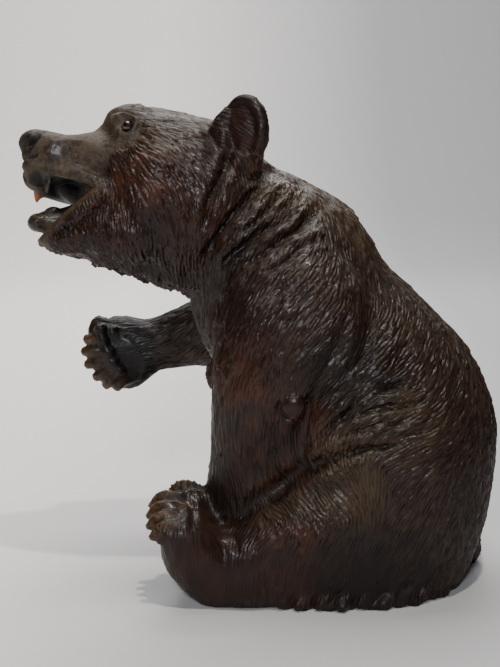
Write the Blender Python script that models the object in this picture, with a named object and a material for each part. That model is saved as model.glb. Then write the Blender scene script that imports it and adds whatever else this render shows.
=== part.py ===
"""A seated bear carved from one block of wood, with two glass eyes.

Metres, +Z up. The bear faces -X, its left side is -Y, and it sits on the plane Z = 0.
"""

import math

import bmesh
import bpy
import numpy as np
from mathutils import Matrix, Vector
from mathutils.bvhtree import BVHTree
from mathutils.kdtree import KDTree

MM = 0.001

# Driving dimensions
RING_POINTS = 48
SPLINE_STEPS = 5
HORN_STEPS = 3
HORN_SIDES = 12
BLOCK_VOXEL = 2.2 * MM
BLOCK_SMOOTHING = 14
DETAIL_VOXEL = 1.2 * MM
DETAIL_SMOOTHING = 3
WOOD_TRIANGLES = 8950

# The head is turned and cocked about a point inside the skull.
HEAD_PIVOT = Vector((-50, 0, 243)) * MM
HEAD_YAW = math.radians(9)
HEAD_ROLL = math.radians(-14)

# The eyes are balls sunk in sockets. The right eye mirrors the left in the head.
EYE_RADIUS = 3.4 * MM
EYE_GAP = 0.3 * MM
EYE_SINK = 1.3 * MM
EYE_PLACE = (-74, 25, 270.8)
EYE_OUTWARD = (-0.5, 0.82, 0.28)
EYE_SEGMENTS = 14
EYE_RINGS = 8

# The locks of hair: long low ridges that lie along the lay of the coat.
LOCK_SPACING = 9.0 * MM
LOCK_LENGTH = 30.0 * MM
LOCK_HALF_WIDTH = 5.0 * MM
LOCK_HEIGHT = 1.5 * MM
LOCK_SEED = 11

# The toes of a hind foot: the inner one's place across and height, and the step to the next.
TOE_ACROSS = 36.5
TOE_HEIGHT = 59.0
TOE_STEP_OUT = 8.8
TOE_STEP_DOWN = 3.4
TOE_FRONTS = (-50, -60, -61, -60.5, -58)
TOE_LEAN = math.radians(18)

# The right hind leg is drawn back by this much, in millimetres.
RIGHT_LEG_DRAWN_BACK = 33

LEFT, RIGHT = -1, 1

# Each row below is one rib of a body mass: the X and Z of its two outline points
# in side view, then its half width and the Y of its middle, all in millimetres.
TRUNK = (
    (130, -10, 24, -10, 62, 0),
    (145, 36, 14, 32, 74, 0),
    (151, 86, 2, 74, 78, 0),
    (147, 112, -8, 98, 76, 0),
    (134, 140, -17, 120, 71, 0),
    (112, 165, -24, 138, 66, 0),
    (82, 193, -30, 150, 60, 0),
    (71, 211, -34, 161, 54, 0),
    (57, 229, -36, 172, 49, 0),
    (31, 244, -40, 182, 46, 0),
    (6, 254, -50, 190, 43, 0),
)
SKULL = (
    (6, 256, -24, 190, 40, 0),
    (-20, 277, -46, 182, 46, 0),
    (-40, 283, -64, 188, 46, 0),
    (-58, 287, -80, 196, 40, 0),
    (-76, 288, -90, 204, 28, 0),
    (-86, 280, -94, 212, 21, 0),
)
MUZZLE = (
    (-66, 280, -78, 240, 33, 0),
    (-88, 274, -92, 245, 28, 0),
    (-100, 272, -102, 245, 24, 0),
    (-112, 272, -113, 246, 21, 0),
    (-122, 275, -123, 245, 18, 0),
    (-128, 275, -128, 247, 14, 0),
)
JAW = (
    (-62, 241, -70, 190, 38, 0),
    (-84, 236, -92, 196, 31, 0),
    (-98, 227, -102, 200, 25, 0),
    (-110, 220, -113, 202, 20, 0),
    (-122, 213, -122, 204, 13, 0),
)
FORELEG = (
    (48, 212, -4, 206, 18, 36),
    (66, 186, -14, 180, 26, 43),
    (68, 158, -20, 150, 29, 45),
    (52, 132, -22, 126, 28, 46),
    (34, 112, -23, 106, 25, 45),
    (31, 92, -23, 88, 23, 42),
    (30, 68, -26, 64, 21, 37),
    (28, 44, -28, 42, 20, 33),
    (26, 18, -30, 18, 22, 30),
    (24, -10, -32, -10, 23, 29),
)
FOREPAW = (
    (0, 36, 0, -10, 22, 27),
    (-18, 29, -18, -10, 24, 27),
    (-30, 20, -30, -10, 23, 27),
    (-36, 12, -36, -10, 19, 27),
)
RAISED_ARM = (
    (34, 204, 52, 138, 22, 38),
    (6, 184, 20, 124, 25, 45),
    (-22, 169, -12, 119, 22, 51),
    (-42, 160, -34, 121, 19, 54),
    (-60, 152, -52, 119, 17, 55),
    (-70, 149, -64, 115, 16.5, 55),
    (-80, 151, -74, 107, 17, 55),
    (-91, 152, -86, 104, 17, 55),
    (-99, 146, -97, 110, 14, 55),
)
THIGH = (
    (110, 54, 110, -10, 18, 36),
    (98, 84, 98, -10, 30, 40),
    (76, 97, 76, -10, 34, 44),
    (50, 90, 50, -10, 32, 48),
    (24, 70, 24, -10, 27, 51),
    (2, 52, 2, -10, 24, 54),
    (-14, 44, -14, -8, 22, 55),
    (-24, 38, -26, -4, 19, 55),
)
FOOT = (
    (-25, -7, -2, 18, 19, 55),
    (-37, 5, -11, 32, 21, 55),
    (-48, 18, -18, 43, 23, 55),
    (-54, 33, -26, 51, 24, 55),
    (-54, 42, -34, 55, 23, 55),
)

# The claws of the raised paw, from root to tip, and its toe pads: centre and radius.
RAISED_CLAWS = (
    ((-98, 44, 139.5), (-108, 44, 139)),
    ((-97, 42, 131.5), (-109, 43, 131)),
    ((-95, 42, 126), (-107, 43, 122.5)),
    ((-92, 42, 120.5), (-101.5, 43, 114)),
    ((-88.5, 42, 116), (-95.5, 43, 108.5)),
    ((-84, 44, 113), (-88.5, 45, 106.5)),
)
RAISED_PADS = (
    ((-98.5, 41, 146), 4.5),
    ((-97, 39, 139.5), 4.0),
    ((-93.5, 38, 131.5), 4.2),
    ((-90.5, 38, 125), 3.8),
    ((-86, 39, 119), 3.6),
)

# The lay of the coat: places on the left side, and the way the hair runs there.
COAT_LAY = (
    ((-45, -12, 285), (1.0, 0.0, -0.1)),
    ((-20, -20, 278), (1.0, -0.2, -0.3)),
    ((-62, -40, 255), (0.7, 0.0, -0.7)),
    ((-40, -48, 250), (0.5, 0.0, -0.9)),
    ((-70, -38, 228), (0.15, 0.0, -1.0)),
    ((-50, -46, 215), (0.1, 0.0, -1.0)),
    ((-100, -20, 208), (0.5, 0.0, -0.9)),
    ((-10, -44, 225), (-0.35, 0.0, -1.0)),
    ((20, -42, 228), (-0.6, 0.0, -0.8)),
    ((50, -20, 235), (0.1, -0.2, -1.0)),
    ((25, -72, 185), (-0.6, 0.0, -0.8)),
    ((70, -50, 195), (-0.3, 0.0, -1.0)),
    ((55, -72, 150), (-0.7, 0.0, -0.8)),
    ((5, -74, 150), (-0.3, 0.0, -1.0)),
    ((0, -66, 100), (0.0, 0.0, -1.0)),
    ((-5, -52, 60), (0.0, 0.0, -1.0)),
    ((-28, 0, 150), (0.1, 0.0, -1.0)),
    ((110, -55, 150), (-0.6, 0.0, -0.8)),
    ((85, -72, 122), (-0.9, 0.0, -0.45)),
    ((125, -60, 110), (-0.7, 0.0, -0.7)),
    ((140, -30, 100), (-0.1, -0.3, -1.0)),
    ((135, -45, 50), (-0.2, -0.2, -1.0)),
    ((50, -78, 82), (0.5, 0.0, -0.85)),
    ((85, -76, 80), (-0.2, 0.0, -1.0)),
    ((60, -80, 40), (-0.4, 0.0, -0.9)),
    ((100, -72, 40), (-0.5, 0.0, -0.9)),
    ((15, -80, 45), (0.2, 0.0, -1.0)),
    ((-15, -76, 35), (0.0, 0.0, -1.0)),
)
ARM_LAY = (
    ((30, 70, 180), (-0.7, 0.0, -0.7)),
    ((0, 70, 155), (-1.0, 0.0, -0.4)),
    ((-30, 72, 145), (-1.0, 0.0, -0.2)),
    ((-70, 70, 130), (-1.0, 0.0, -0.1)),
)

# Creases of the skin in side view: depth, half width, the sides that have one, and
# the X and Z of the points that it runs through.
CREASES = (
    (3.6, 4.2, (LEFT,), ((6, 246), (-6, 233), (-16, 220), (-23, 208), (-26, 192))),
    (3.2, 4.0, (LEFT, RIGHT), ((29, 240), (18, 229), (5, 218), (-9, 206), (-17, 193))),
    (3.0, 4.0, (LEFT,), ((41, 231), (29, 221), (17, 214), (5, 207), (-8, 197))),
    (2.6, 5.0, (LEFT,), ((69, 184), (67, 160), (60, 144), (47, 132), (38, 122), (32, 104), (29, 86))),
    (3.0, 3.6, (LEFT, RIGHT), ((31, 88), (42, 105), (54, 115), (69, 121), (88, 124))),
    (2.4, 3.4, (LEFT, RIGHT), ((43, 122), (58, 131), (74, 134), (92, 132))),
    (2.6, 3.6, (LEFT, RIGHT), ((27, 74), (40, 88), (54, 95), (70, 99), (92, 102))),
)

# Places cut finer than the rest and without locks: centre and radius.
FINE_PLACES = (
    ((-116, -6, 244), 38),
    ((-78, -26, 270), 17),
    ((-78, 20, 262), 17),
    ((-2, -33, 272), 24),
    ((-2, 41, 258), 26),
    ((-98, 50, 127), 27),
    ((-48, -55, 57), 27),
    ((-16, 55, 57), 27),
    ((-36, -27, 8), 22),
)


def clear_scene():
    for old in list(bpy.data.objects):
        bpy.data.objects.remove(old)


def catmull_rom(rows, steps):
    """The rows, with steps - 1 further rows on a smooth curve between each two."""
    ends = [2 * rows[0] - rows[1], *rows, 2 * rows[-1] - rows[-2]]
    smooth = []
    for a, b, c, d in zip(ends, ends[1:], ends[2:], ends[3:]):
        for step in range(steps):
            t = step / steps
            smooth.append(
                0.5
                * (
                    2 * b
                    + (c - a) * t
                    + (2 * a - 5 * b + 4 * c - d) * t**2
                    + (3 * b - a - 3 * c + d) * t**3
                )
            )
    return [*smooth, rows[-1]]


def add_rings(bm, rings, first_pole, last_pole):
    """Skins a row of rings, closed by a pole at each end."""
    loops = [[bm.verts.new(point) for point in ring] for ring in rings]
    count = len(loops[0])
    for here, there in zip(loops, loops[1:]):
        for i in range(count):
            j = (i + 1) % count
            bm.faces.new((here[i], here[j], there[j], there[i]))
    for pole, loop in ((first_pole, loops[0]), (last_pole, loops[-1])):
        tip = bm.verts.new(pole)
        for i in range(count):
            bm.faces.new((tip, loop[i], loop[(i + 1) % count]))


def ribbed_mass(ribs, side=RIGHT, cap=0.35, power=2.2, place=Matrix.Identity(4)):
    """A closed body mass through its ribs, with ends rounded by cap times their size."""
    rows = [np.array(rib, float) * MM for rib in ribs]
    rows = catmull_rom(rows, SPLINE_STEPS)
    cuts = []
    for rib in rows:
        top = Vector((rib[0], 0, rib[1]))
        low = Vector((rib[2], 0, rib[3]))
        middle = (top + low) / 2 + Vector((0, side * rib[5], 0))
        cuts.append((middle, (top - low) / 2, Vector((0, rib[4], 0))))

    def ring(cut, scale, shift):
        middle, up, across = cut
        points = []
        for i in range(RING_POINTS):
            angle = math.tau * i / RING_POINTS
            c, s = math.cos(angle), math.sin(angle)
            u = math.copysign(abs(c) ** (2 / power), c)
            v = math.copysign(abs(s) ** (2 / power), s)
            points.append(place @ (middle + shift + (up * u + across * v) * scale))
        return points

    def rounded_end(cut, inner):
        out = (cut[0] - inner[0]).normalized() * cap * (cut[1].length + cut[2].length)
        rings = [ring(cut, math.sqrt(1 - s * s), out * s) for s in (0.45, 0.75, 0.93)]
        return rings, place @ (cut[0] + out)

    start, first_pole = rounded_end(cuts[0], cuts[1])
    end, last_pole = rounded_end(cuts[-1], cuts[-2])
    rings = [ring(cut, 1, Vector()) for cut in cuts]
    bm = bmesh.new()
    add_rings(bm, start[::-1] + rings + end, first_pole, last_pole)
    return as_mesh(bm)


def tapered_horn(points, radii, place=Matrix.Identity(4)):
    """A round horn through the points, for a claw, a tooth or a tuft of hair."""
    rows = [np.array((*p, r), float) * MM for p, r in zip(points, radii)]
    rows = catmull_rom(rows, HORN_STEPS)
    rings = []
    for i, row in enumerate(rows):
        before, after = rows[max(i - 1, 0)], rows[min(i + 1, len(rows) - 1)]
        along = Vector(after[:3] - before[:3])
        turn = along.to_track_quat("Z", "Y")
        middle = Vector(row[:3])
        ring = []
        for k in range(HORN_SIDES):
            angle = math.tau * k / HORN_SIDES
            spoke = Vector((math.cos(angle), math.sin(angle), 0)) * row[3]
            ring.append(place @ (middle + turn @ spoke))
        rings.append(ring)
    first, last = Vector(rows[0][:3]), Vector(rows[-1][:3])
    start = first - (Vector(rows[1][:3]) - first).normalized() * rows[0][3] * 0.6
    end = last + (last - Vector(rows[-2][:3])).normalized() * rows[-1][3] * 0.8
    bm = bmesh.new()
    add_rings(bm, rings, place @ start, place @ end)
    return as_mesh(bm)


def ellipsoid(centre, radii, turn=Matrix.Identity(3), place=Matrix.Identity(4)):
    """A ball stretched to three radii, turned, at its centre, all in millimetres."""
    bm = bmesh.new()
    bmesh.ops.create_uvsphere(bm, u_segments=24, v_segments=16, radius=1)
    shape = turn @ Matrix.Diagonal(Vector(radii) * MM)
    for vert in bm.verts:
        vert.co = place @ (Vector(centre) * MM + shape @ vert.co)
    return as_mesh(bm)


def as_mesh(bm):
    bmesh.ops.recalc_face_normals(bm, faces=bm.faces)
    mesh = bpy.data.meshes.new("shape")
    bm.to_mesh(mesh)
    bm.free()
    return mesh


def gathered(name, meshes):
    """One object that holds all the meshes, still as separate shells."""
    bm = bmesh.new()
    for mesh in meshes:
        bm.from_mesh(mesh)
        bpy.data.meshes.remove(mesh)
    joined = bpy.data.meshes.new(name)
    bm.to_mesh(joined)
    bm.free()
    holder = bpy.data.objects.new(name, joined)
    bpy.context.scene.collection.objects.link(holder)
    return holder


def take_mesh(holder):
    """The holder's mesh with its modifiers applied. The holder is removed."""
    graph = bpy.context.evaluated_depsgraph_get()
    mesh = bpy.data.meshes.new_from_object(holder.evaluated_get(graph))
    bpy.data.objects.remove(holder)
    return mesh


def fused(name, meshes, voxel, smoothing):
    """The meshes as one skin: overlapping shells are merged and their joins softened."""
    holder = gathered(name, meshes)
    remesh = holder.modifiers.new("fuse", "REMESH")
    remesh.mode = "VOXEL"
    remesh.voxel_size = voxel
    soften = holder.modifiers.new("soften", "SMOOTH")
    soften.factor = 0.5
    soften.iterations = smoothing
    return outer_shell(take_mesh(holder))


def outer_shell(mesh):
    """Drops every loose shell but the largest, such as a bubble left between two masses."""
    bm = bmesh.new()
    bm.from_mesh(mesh)
    bm.verts.ensure_lookup_table()
    seen = np.zeros(len(bm.verts), bool)
    shells = []
    for seed in bm.verts:
        if seen[seed.index]:
            continue
        seen[seed.index] = True
        shell, front = [seed], [seed]
        while front:
            vert = front.pop()
            for edge in vert.link_edges:
                other = edge.other_vert(vert)
                if not seen[other.index]:
                    seen[other.index] = True
                    shell.append(other)
                    front.append(other)
        shells.append(shell)
    shells.sort(key=len)
    for shell in shells[:-1]:
        bmesh.ops.delete(bm, geom=shell, context="VERTS")
    bm.to_mesh(mesh)
    bm.free()
    return mesh


def head_place():
    """The matrix that turns the head towards its left and drops its right side."""
    turn = Matrix.Rotation(HEAD_YAW, 4, "Z") @ Matrix.Rotation(HEAD_ROLL, 4, "X")
    return Matrix.Translation(HEAD_PIVOT) @ turn @ Matrix.Translation(-HEAD_PIVOT)


def head_masses(place):
    """The skull, muzzle and lower jaw, whose gap is the open mouth, cheeks and brows."""
    masses = [
        ribbed_mass(SKULL, cap=0.25, place=place),
        ribbed_mass(MUZZLE, cap=0.16, power=2.6, place=place),
        ribbed_mass(JAW, cap=0.22, power=2.8, place=place),
    ]
    for side in (LEFT, RIGHT):
        masses.append(ellipsoid((-74, side * 16, 276.5), (15, 13, 11), place=place))
        masses.append(ellipsoid((-56, side * 28, 236), (24, 19, 30), place=place))
    masses.append(ellipsoid((-46, 0, 196), (24, 30, 16), place=place))
    return masses


def hind_leg(side, drawn_back):
    """A thigh and foot. The lower leg of one drawn back lies nearer the rump."""

    def shifted(ribs):
        moved = []
        for a_x, a_z, b_x, b_z, width, middle in ribs:
            share = min(max((76 - (a_x + b_x) / 2) / 100, 0), 1)
            back = drawn_back * share
            moved.append((a_x + back, a_z, b_x + back, b_z, width, middle))
        return moved

    thigh = ribbed_mass(shifted(THIGH), side, cap=0.22)
    foot = ribbed_mass(shifted(FOOT), side, cap=0.12, power=2.6)
    ball = ellipsoid((-36 + drawn_back, side * 42, 52), (13, 13, 13))
    return [thigh, foot, ball]


def block_masses(head):
    """The large masses of the figure, as a carver would rough them out."""
    masses = [
        ribbed_mass(TRUNK),
        ribbed_mass(FORELEG, LEFT),
        ribbed_mass(FOREPAW, LEFT, cap=0.2),
        ribbed_mass(RAISED_ARM, RIGHT, cap=0.2),
        ellipsoid((139, 8, 11), (8, 11, 17)),
    ]
    for side in (LEFT, RIGHT):
        masses.append(ellipsoid((26, side * 43, 172), (40, 27, 40)))
    masses += hind_leg(LEFT, 0) + hind_leg(RIGHT, RIGHT_LEG_DRAWN_BACK)
    return masses + head_masses(head)


def ear_lean(side):
    """How an ear is turned: its face looks outwards and forwards, its top leans out."""
    lean = Matrix.Rotation(math.radians(-side * 14), 3, "X")
    return lean @ Matrix.Rotation(math.radians(side * 40), 3, "Z")


def ears(head):
    """Two thick round ears, set high on the back of the head."""
    shapes = []
    for side in (LEFT, RIGHT):
        turn = ear_lean(side)
        shapes.append(ellipsoid((-7, side * 41, 266), (14.5, 9, 20), turn, place=head))
        shapes.append(ellipsoid((-17, side * 35, 260), (11, 9, 14), turn, place=head))
        shapes.append(ellipsoid((-9, side * 35, 253), (13, 11, 14), turn, place=head))
    return shapes


def nose(head):
    """The nose pad and the upper lip, raised on the left and hanging on the right."""
    shapes = [
        ellipsoid((-128, 0, 267.5), (10.5, 10.5, 8.5), place=head),
        ellipsoid((-126.5, 0, 260), (10, 9, 9), place=head),
    ]
    for side in (LEFT, RIGHT):
        shapes.append(ellipsoid((-127.5, side * 6, 248.5), (9, 8, 8.5), place=head))
    hanging_lip = (
        (-128, 9, 244),
        (-118, 14, 241.5),
        (-108, 17, 239),
        (-98, 20, 238),
        (-88, 23, 238.5),
    )
    shapes.append(tapered_horn(hanging_lip, (6, 6, 6, 6, 6.5), head))
    raised_lip = (
        (-125, -12, 250.5),
        (-114, -16.5, 247.5),
        (-106, -19.5, 245),
        (-98, -23, 242),
        (-93.5, -25.5, 239.5),
    )
    shapes.append(tapered_horn(raised_lip, (4, 3.7, 3.7, 3.8, 3.6), head))
    return shapes


def mouth(head):
    """Tongue, right gum, upper canine teeth, and both corners and rims of the lower lips."""
    tongue = ((-84, 0, 228), (-98, 0, 224), (-112, 0, 221), (-123, 0, 220), (-129, 0, 219))
    gum = ((-84, 7, 236), (-98, 8, 237), (-110, 10, 242), (-120, 9, 247))
    shapes = [
        tapered_horn(tongue, (9, 8.5, 7.5, 7, 5.5), head),
        tapered_horn(gum, (12, 10.5, 7, 4), head),
    ]
    near_tooth = ((-122.5, -12.5, 249), (-122.5, -12.5, 242), (-122.4, -12, 236))
    far_tooth = ((-127, 12, 246), (-128.5, 12, 240), (-128.6, 11.5, 234))
    for tooth in (near_tooth, far_tooth):
        shapes.append(tapered_horn(tooth, (2.6, 2.3, 1.2), head))
    for side in (LEFT, RIGHT):
        shapes.append(ellipsoid((-84, side * 21, 237), (8, 8, 9), place=head))
        lip = (
            (-88, side * 26, 237),
            (-94, side * 26, 233),
            (-99, side * 25, 230.5),
            (-106.5, side * 21, 225),
            (-113, side * 17, 220),
            (-118, side * 14, 216),
            (-123, side * 10, 211),
            (-126, side * 4, 208),
        )
        shapes.append(tapered_horn(lip, (3.4, 3.2, 3.0, 3.0, 3.0, 2.9, 2.8, 2.8), head))
    return shapes


def eye_frames(head, block):
    """For each eye its centre, sunk in the block's skin, and its ways out, fore and up."""
    corners = [vert.co for vert in block.vertices]
    skin = BVHTree.FromPolygons(corners, [face.vertices[:] for face in block.polygons])
    turn = head.to_3x3()
    frames = []
    for side in (LEFT, RIGHT):
        mirror = Vector((1, side, 1))
        place = head @ (Vector(EYE_PLACE) * mirror * MM)
        outward = (turn @ (Vector(EYE_OUTWARD) * mirror)).normalized()
        surface = skin.ray_cast(place + outward * 40 * MM, -outward)[0]
        forward = turn @ Vector((-1, 0, -0.25))
        forward = (forward - outward * forward.dot(outward)).normalized()
        up = outward.cross(forward) * -side
        frames.append((surface - outward * EYE_SINK, outward, forward, up))
    return frames


def eyelids(frames):
    """Raised lids that meet in front of and behind each eye."""
    shapes = []
    for centre, outward, forward, up in frames:
        for height in (4.6, -4.0):
            points = []
            for k in range(7):
                angle = math.pi * k / 6
                across = forward * math.cos(angle) * 6.6 + up * math.sin(angle) * height
                points.append(centre / MM + outward * (1.4 + math.sin(angle)) + across)
            shapes.append(tapered_horn(points, (1.0, 1.6, 2.0, 2.1, 2.0, 1.6, 1.0)))
    return shapes


def claw(base, tip, bow, radius, blunt=0.55):
    """A claw from base to tip, bowed to one side at its middle."""
    base, tip, bow = Vector(base), Vector(tip), Vector(bow)
    middle = (base + tip) / 2 + bow
    return tapered_horn((base, middle, tip), (radius, radius * 0.95, radius * blunt))


def hind_toes(side, drawn_back):
    """Five toes over the front of an upright foot, the big toe inside and highest."""
    shapes = []
    turn = Matrix.Rotation(TOE_LEAN, 3, "Y")
    for i, front in enumerate(TOE_FRONTS):
        across = side * (TOE_ACROSS + TOE_STEP_OUT * i)
        height = TOE_HEIGHT - TOE_STEP_DOWN * i
        front += drawn_back
        shapes.append(ellipsoid((front + 14, across, height - 2), (13, 5.6, 8), turn))
        root = (front + 17, across, height + 4)
        tip = (front + 1.5, across, height - 3)
        shapes.append(claw(root, tip, (-2, 0, 4.5), 3.4, 0.7))
    return shapes


def ground_toes(side):
    """Five toes of the forepaw that stands between the hind feet."""
    shapes = []
    for i in range(5):
        across = side * (11 + 8.2 * i)
        forward = -34 + 1.2 * (i - 2) ** 2
        shapes.append(ellipsoid((forward, across, 7), (8, 4.8, 8)))
        shapes.append(
            claw((forward - 3, across, 9), (forward - 9, across, 3), (-1, 0, 3), 2.8)
        )
    return shapes


def raised_toes():
    """The raised paw's claws, side by side round its edge, its toe pads and its back."""
    shapes = [ellipsoid((-98, 50, 143), (9, 7, 9.5))]
    for root, tip in RAISED_CLAWS:
        root, tip = Vector(root), Vector(tip)
        middle = root.lerp(tip, 0.5) + Vector((0, -1, 0))
        shapes.append(tapered_horn((root, middle, tip), (4.4, 4.2, 3.5)))
        shapes.append(tapered_horn((root, root + Vector((3, 11, 0))), (5.5, 6.5)))
    for centre, radius in RAISED_PADS:
        shapes.append(ellipsoid(centre, (radius, 4, radius)))
    return shapes


def throat_tufts(head):
    """Ragged tufts that hang from the jaw and throat."""
    shapes = []
    for i in range(9):
        along = i / 8
        for row in (-1, 0, 1):
            x = -98 + 58 * along + 3 * row
            y = row * (9 + 7 * along)
            z = 201 - 19 * along
            root = Vector((x, y, z + 4))
            tip = Vector((x + 5, y * 1.1, z - 5 - 2 * (i % 2)))
            middle = root.lerp(tip, 0.5)
            shapes.append(tapered_horn((root, middle, tip), (4.8, 3.6, 1.3), head))
    return shapes


def hem_tufts():
    """Locks that hang to the ground round the haunches."""
    hem = (
        (20, -73),
        (55, -74),
        (92, -67),
        (115, -46),
        (124, -20),
        (126, 12),
        (121, 42),
        (98, 64),
        (60, 73),
    )
    rows = catmull_rom([np.array(point, float) for point in hem], 4)
    shapes = []
    for i, (x, y) in enumerate(rows):
        inward = Vector((78 - x, -y, 0)).normalized()
        if abs(y) > 60:
            inward = Vector((0, -math.copysign(1, y), 0))
        foot = Vector((x + 2 * (i % 3), y, 0))
        reach = (0, 2, 0.5, 1.2, -1)[i % 5]
        root = foot + inward * 9 + Vector((0, 0, 13 + 4 * (i % 3)))
        middle = foot + inward * 4.5 + Vector((0, 0, 6))
        tip = foot - inward * reach + Vector((0, 0, -3))
        shapes.append(tapered_horn((root, middle, tip), (4, 5, 4.4)))
    return shapes


def small_bumps():
    """The point of the standing elbow, and a tuft below the chest."""
    return [
        ellipsoid((22, -66, 121), (8, 5, 11)),
        ellipsoid((-22, -30, 131), (4, 5, 9)),
    ]


class Sculpture:
    """The fused skin's points and normals, for work on its surface."""

    def __init__(self, mesh):
        self.mesh = mesh
        self.points = np.empty((len(mesh.vertices), 3))
        self.refresh()

    def refresh(self):
        flat = np.empty(self.points.size)
        self.mesh.vertices.foreach_get("co", flat)
        self.points = flat.reshape(-1, 3).copy()
        self.mesh.vertex_normals.foreach_get("vector", flat)
        self.normals = flat.reshape(-1, 3).copy()

    def move(self, shift):
        self.mesh.vertices.foreach_set("co", (self.points + shift).ravel())
        self.mesh.update()
        self.refresh()

    def raise_by(self, height):
        self.move(self.normals * height[:, None])

    def fineness(self):
        """1 in the finely cut places, falling to 0 outside them."""
        fine = np.zeros(len(self.points))
        for centre, radius in FINE_PLACES:
            far = np.linalg.norm(self.points - np.array(centre) * MM, axis=1)
            fine = np.maximum(fine, np.clip((1.15 * radius * MM - far) / (6 * MM), 0, 1))
        return fine


def press_creases(skin):
    """Presses the creases in, with the skin swelling a little on both sides."""
    height = np.zeros(len(skin.points))
    for depth, width, sides, route in CREASES:
        rows = catmull_rom([np.array(point, float) * MM for point in route], 3)
        for side in sides:
            far = np.full(len(skin.points), 1.0)
            end = np.full(len(skin.points), 0.0)
            flat = skin.points[:, (0, 2)]
            for i, (a, b) in enumerate(zip(rows, rows[1:])):
                share = np.clip((flat - a) @ (b - a) / ((b - a) @ (b - a)), 0, 1)
                gap = np.linalg.norm(flat - a - share[:, None] * (b - a), axis=1)
                nearer = gap < far
                far[nearer] = gap[nearer]
                end[nearer] = ((i + share) / (len(rows) - 1))[nearer]
            taper = np.clip(np.sin(np.pi * np.clip(end, 0.04, 0.96)) * 1.6, 0, 1)
            facing = np.clip(side * skin.normals[:, 1] * 2.5, 0, 1)
            facing *= side * skin.points[:, 1] > 12 * MM
            width_m = width * MM
            pressed = -np.exp(-((far / width_m) ** 2))
            swollen = 0.45 * np.exp(-(((far - 2.1 * width_m) / width_m) ** 2))
            height += depth * MM * (pressed + swollen) * taper * facing
    skin.raise_by(height)


def press_dent(skin, centre, way, radii, depth):
    """Presses a hollow in at the centre, only where the skin faces against the way."""
    way = Vector(way).normalized()
    reach = (skin.points - np.array(centre)) / (np.array(radii) * MM)
    bowl = np.clip(1 - (reach**2).sum(axis=1), 0, 1)
    facing = np.clip(-(skin.normals @ np.array(way)) * 2, 0, 1)
    skin.move((bowl * facing * depth * MM)[:, None] * np.array(way))


def press_face(skin, head):
    """Nostrils, the hollows before the eyes, and the hollows of the ears."""
    turn = head.to_3x3()
    for side in (LEFT, RIGHT):
        nostril = head @ (Vector((-132, side * 6.5, 264.5)) * MM)
        press_dent(skin, nostril, turn @ Vector((0.7, -side * 0.6, 0.1)), (5.5, 5.5, 4.5), 4.5)
        corner = head @ (Vector((-87, side * 24, 266)) * MM)
        press_dent(skin, corner, turn @ Vector((0.3, -side * 0.8, -0.3)), (10, 10, 9), 3)
        face = turn @ ear_lean(side) @ Vector((0, side, 0))
        hollow = head @ (Vector((-7, side * 41, 266)) * MM) + face * 7 * MM
        press_dent(skin, hollow, -face, (12, 12, 15), 7)


def coat_direction(points):
    """The way the hair runs at the points, blended from the coat's known places."""
    places, ways = [], []
    for place, way in COAT_LAY:
        for side in (LEFT, RIGHT):
            mirror = np.array((1, -side, 1))
            places.append(np.array(place) * mirror * MM)
            ways.append(np.array(way) * mirror)
    for place, way in ARM_LAY:
        places.append(np.array(place) * MM)
        ways.append(np.array(way) * 3)
    blend = np.zeros_like(points)
    for place, way in zip(places, ways):
        near = ((points - place) ** 2).sum(axis=1) + (8 * MM) ** 2
        blend += way / near[:, None] ** 2
    return blend


def carve_locks(skin):
    """Raises long locks over the coat, each fuller towards its tip."""
    rng = np.random.default_rng(LOCK_SEED)
    order = rng.permutation(len(skin.points))
    cells = np.floor(skin.points[order] / LOCK_SPACING).astype(int)
    first = np.unique(cells, axis=0, return_index=True)[1]
    roots = order[np.sort(first)]
    ways = coat_direction(skin.points[roots])
    ways -= skin.normals[roots] * (ways * skin.normals[roots]).sum(axis=1)[:, None]
    ways /= np.linalg.norm(ways, axis=1)[:, None]
    sizes = rng.uniform(0.75, 1.2, len(roots))
    tree = KDTree(len(skin.points))
    for i, point in enumerate(skin.points):
        tree.insert(point, i)
    tree.balance()
    height = np.zeros(len(skin.points))
    for root, way, size in zip(roots, ways, sizes):
        length = LOCK_LENGTH * size
        middle = skin.points[root] + way * length / 2
        near = [index for _, index, _ in tree.find_range(middle, length * 0.55)]
        if not near:
            continue
        near = np.array(near)
        near = near[skin.normals[near] @ skin.normals[root] > 0.3]
        offset = skin.points[near] - skin.points[root]
        along = offset @ way / length
        aside = offset @ np.cross(skin.normals[root], way)
        plump = np.clip(along, 0, 1) ** 0.7 * np.clip((1 - along) * 5, 0, 1)
        width = LOCK_HALF_WIDTH * size * (1 - 0.45 * np.clip(along, 0, 1))
        ridge = np.clip(1 - (aside / width) ** 2, 0, 1)
        rise = LOCK_HEIGHT * size * plump * ridge
        height[near] = np.maximum(height[near], rise)
    height *= 1 - skin.fineness()
    height *= np.clip(skin.points[:, 2] / (8 * MM), 0, 1)
    skin.raise_by(height)


def thinned(mesh, triangles):
    """The mesh collapsed to about so many triangles, fewest where it is flattest."""
    holder = bpy.data.objects.new("thinned", mesh)
    bpy.context.scene.collection.objects.link(holder)
    collapse = holder.modifiers.new("thin", "DECIMATE")
    collapse.ratio = triangles / sum(len(face.vertices) - 2 for face in mesh.polygons)
    collapse.use_collapse_triangulate = True
    return take_mesh(holder)


def cut_flat(mesh):
    """Saws the figure off at the plane it sits on."""
    bm = bmesh.new()
    bm.from_mesh(mesh)
    everything = [*bm.verts, *bm.edges, *bm.faces]
    up = Vector((0, 0, 1))
    bmesh.ops.bisect_plane(bm, geom=everything, plane_co=Vector(), plane_no=up, clear_inner=True)
    rim = [edge for edge in bm.edges if edge.is_boundary]
    bmesh.ops.triangle_fill(bm, use_beauty=True, edges=rim, normal=-up)
    bmesh.ops.recalc_face_normals(bm, faces=bm.faces)
    bmesh.ops.triangulate(bm, faces=bm.faces)
    bm.to_mesh(mesh)
    bm.free()


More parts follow.
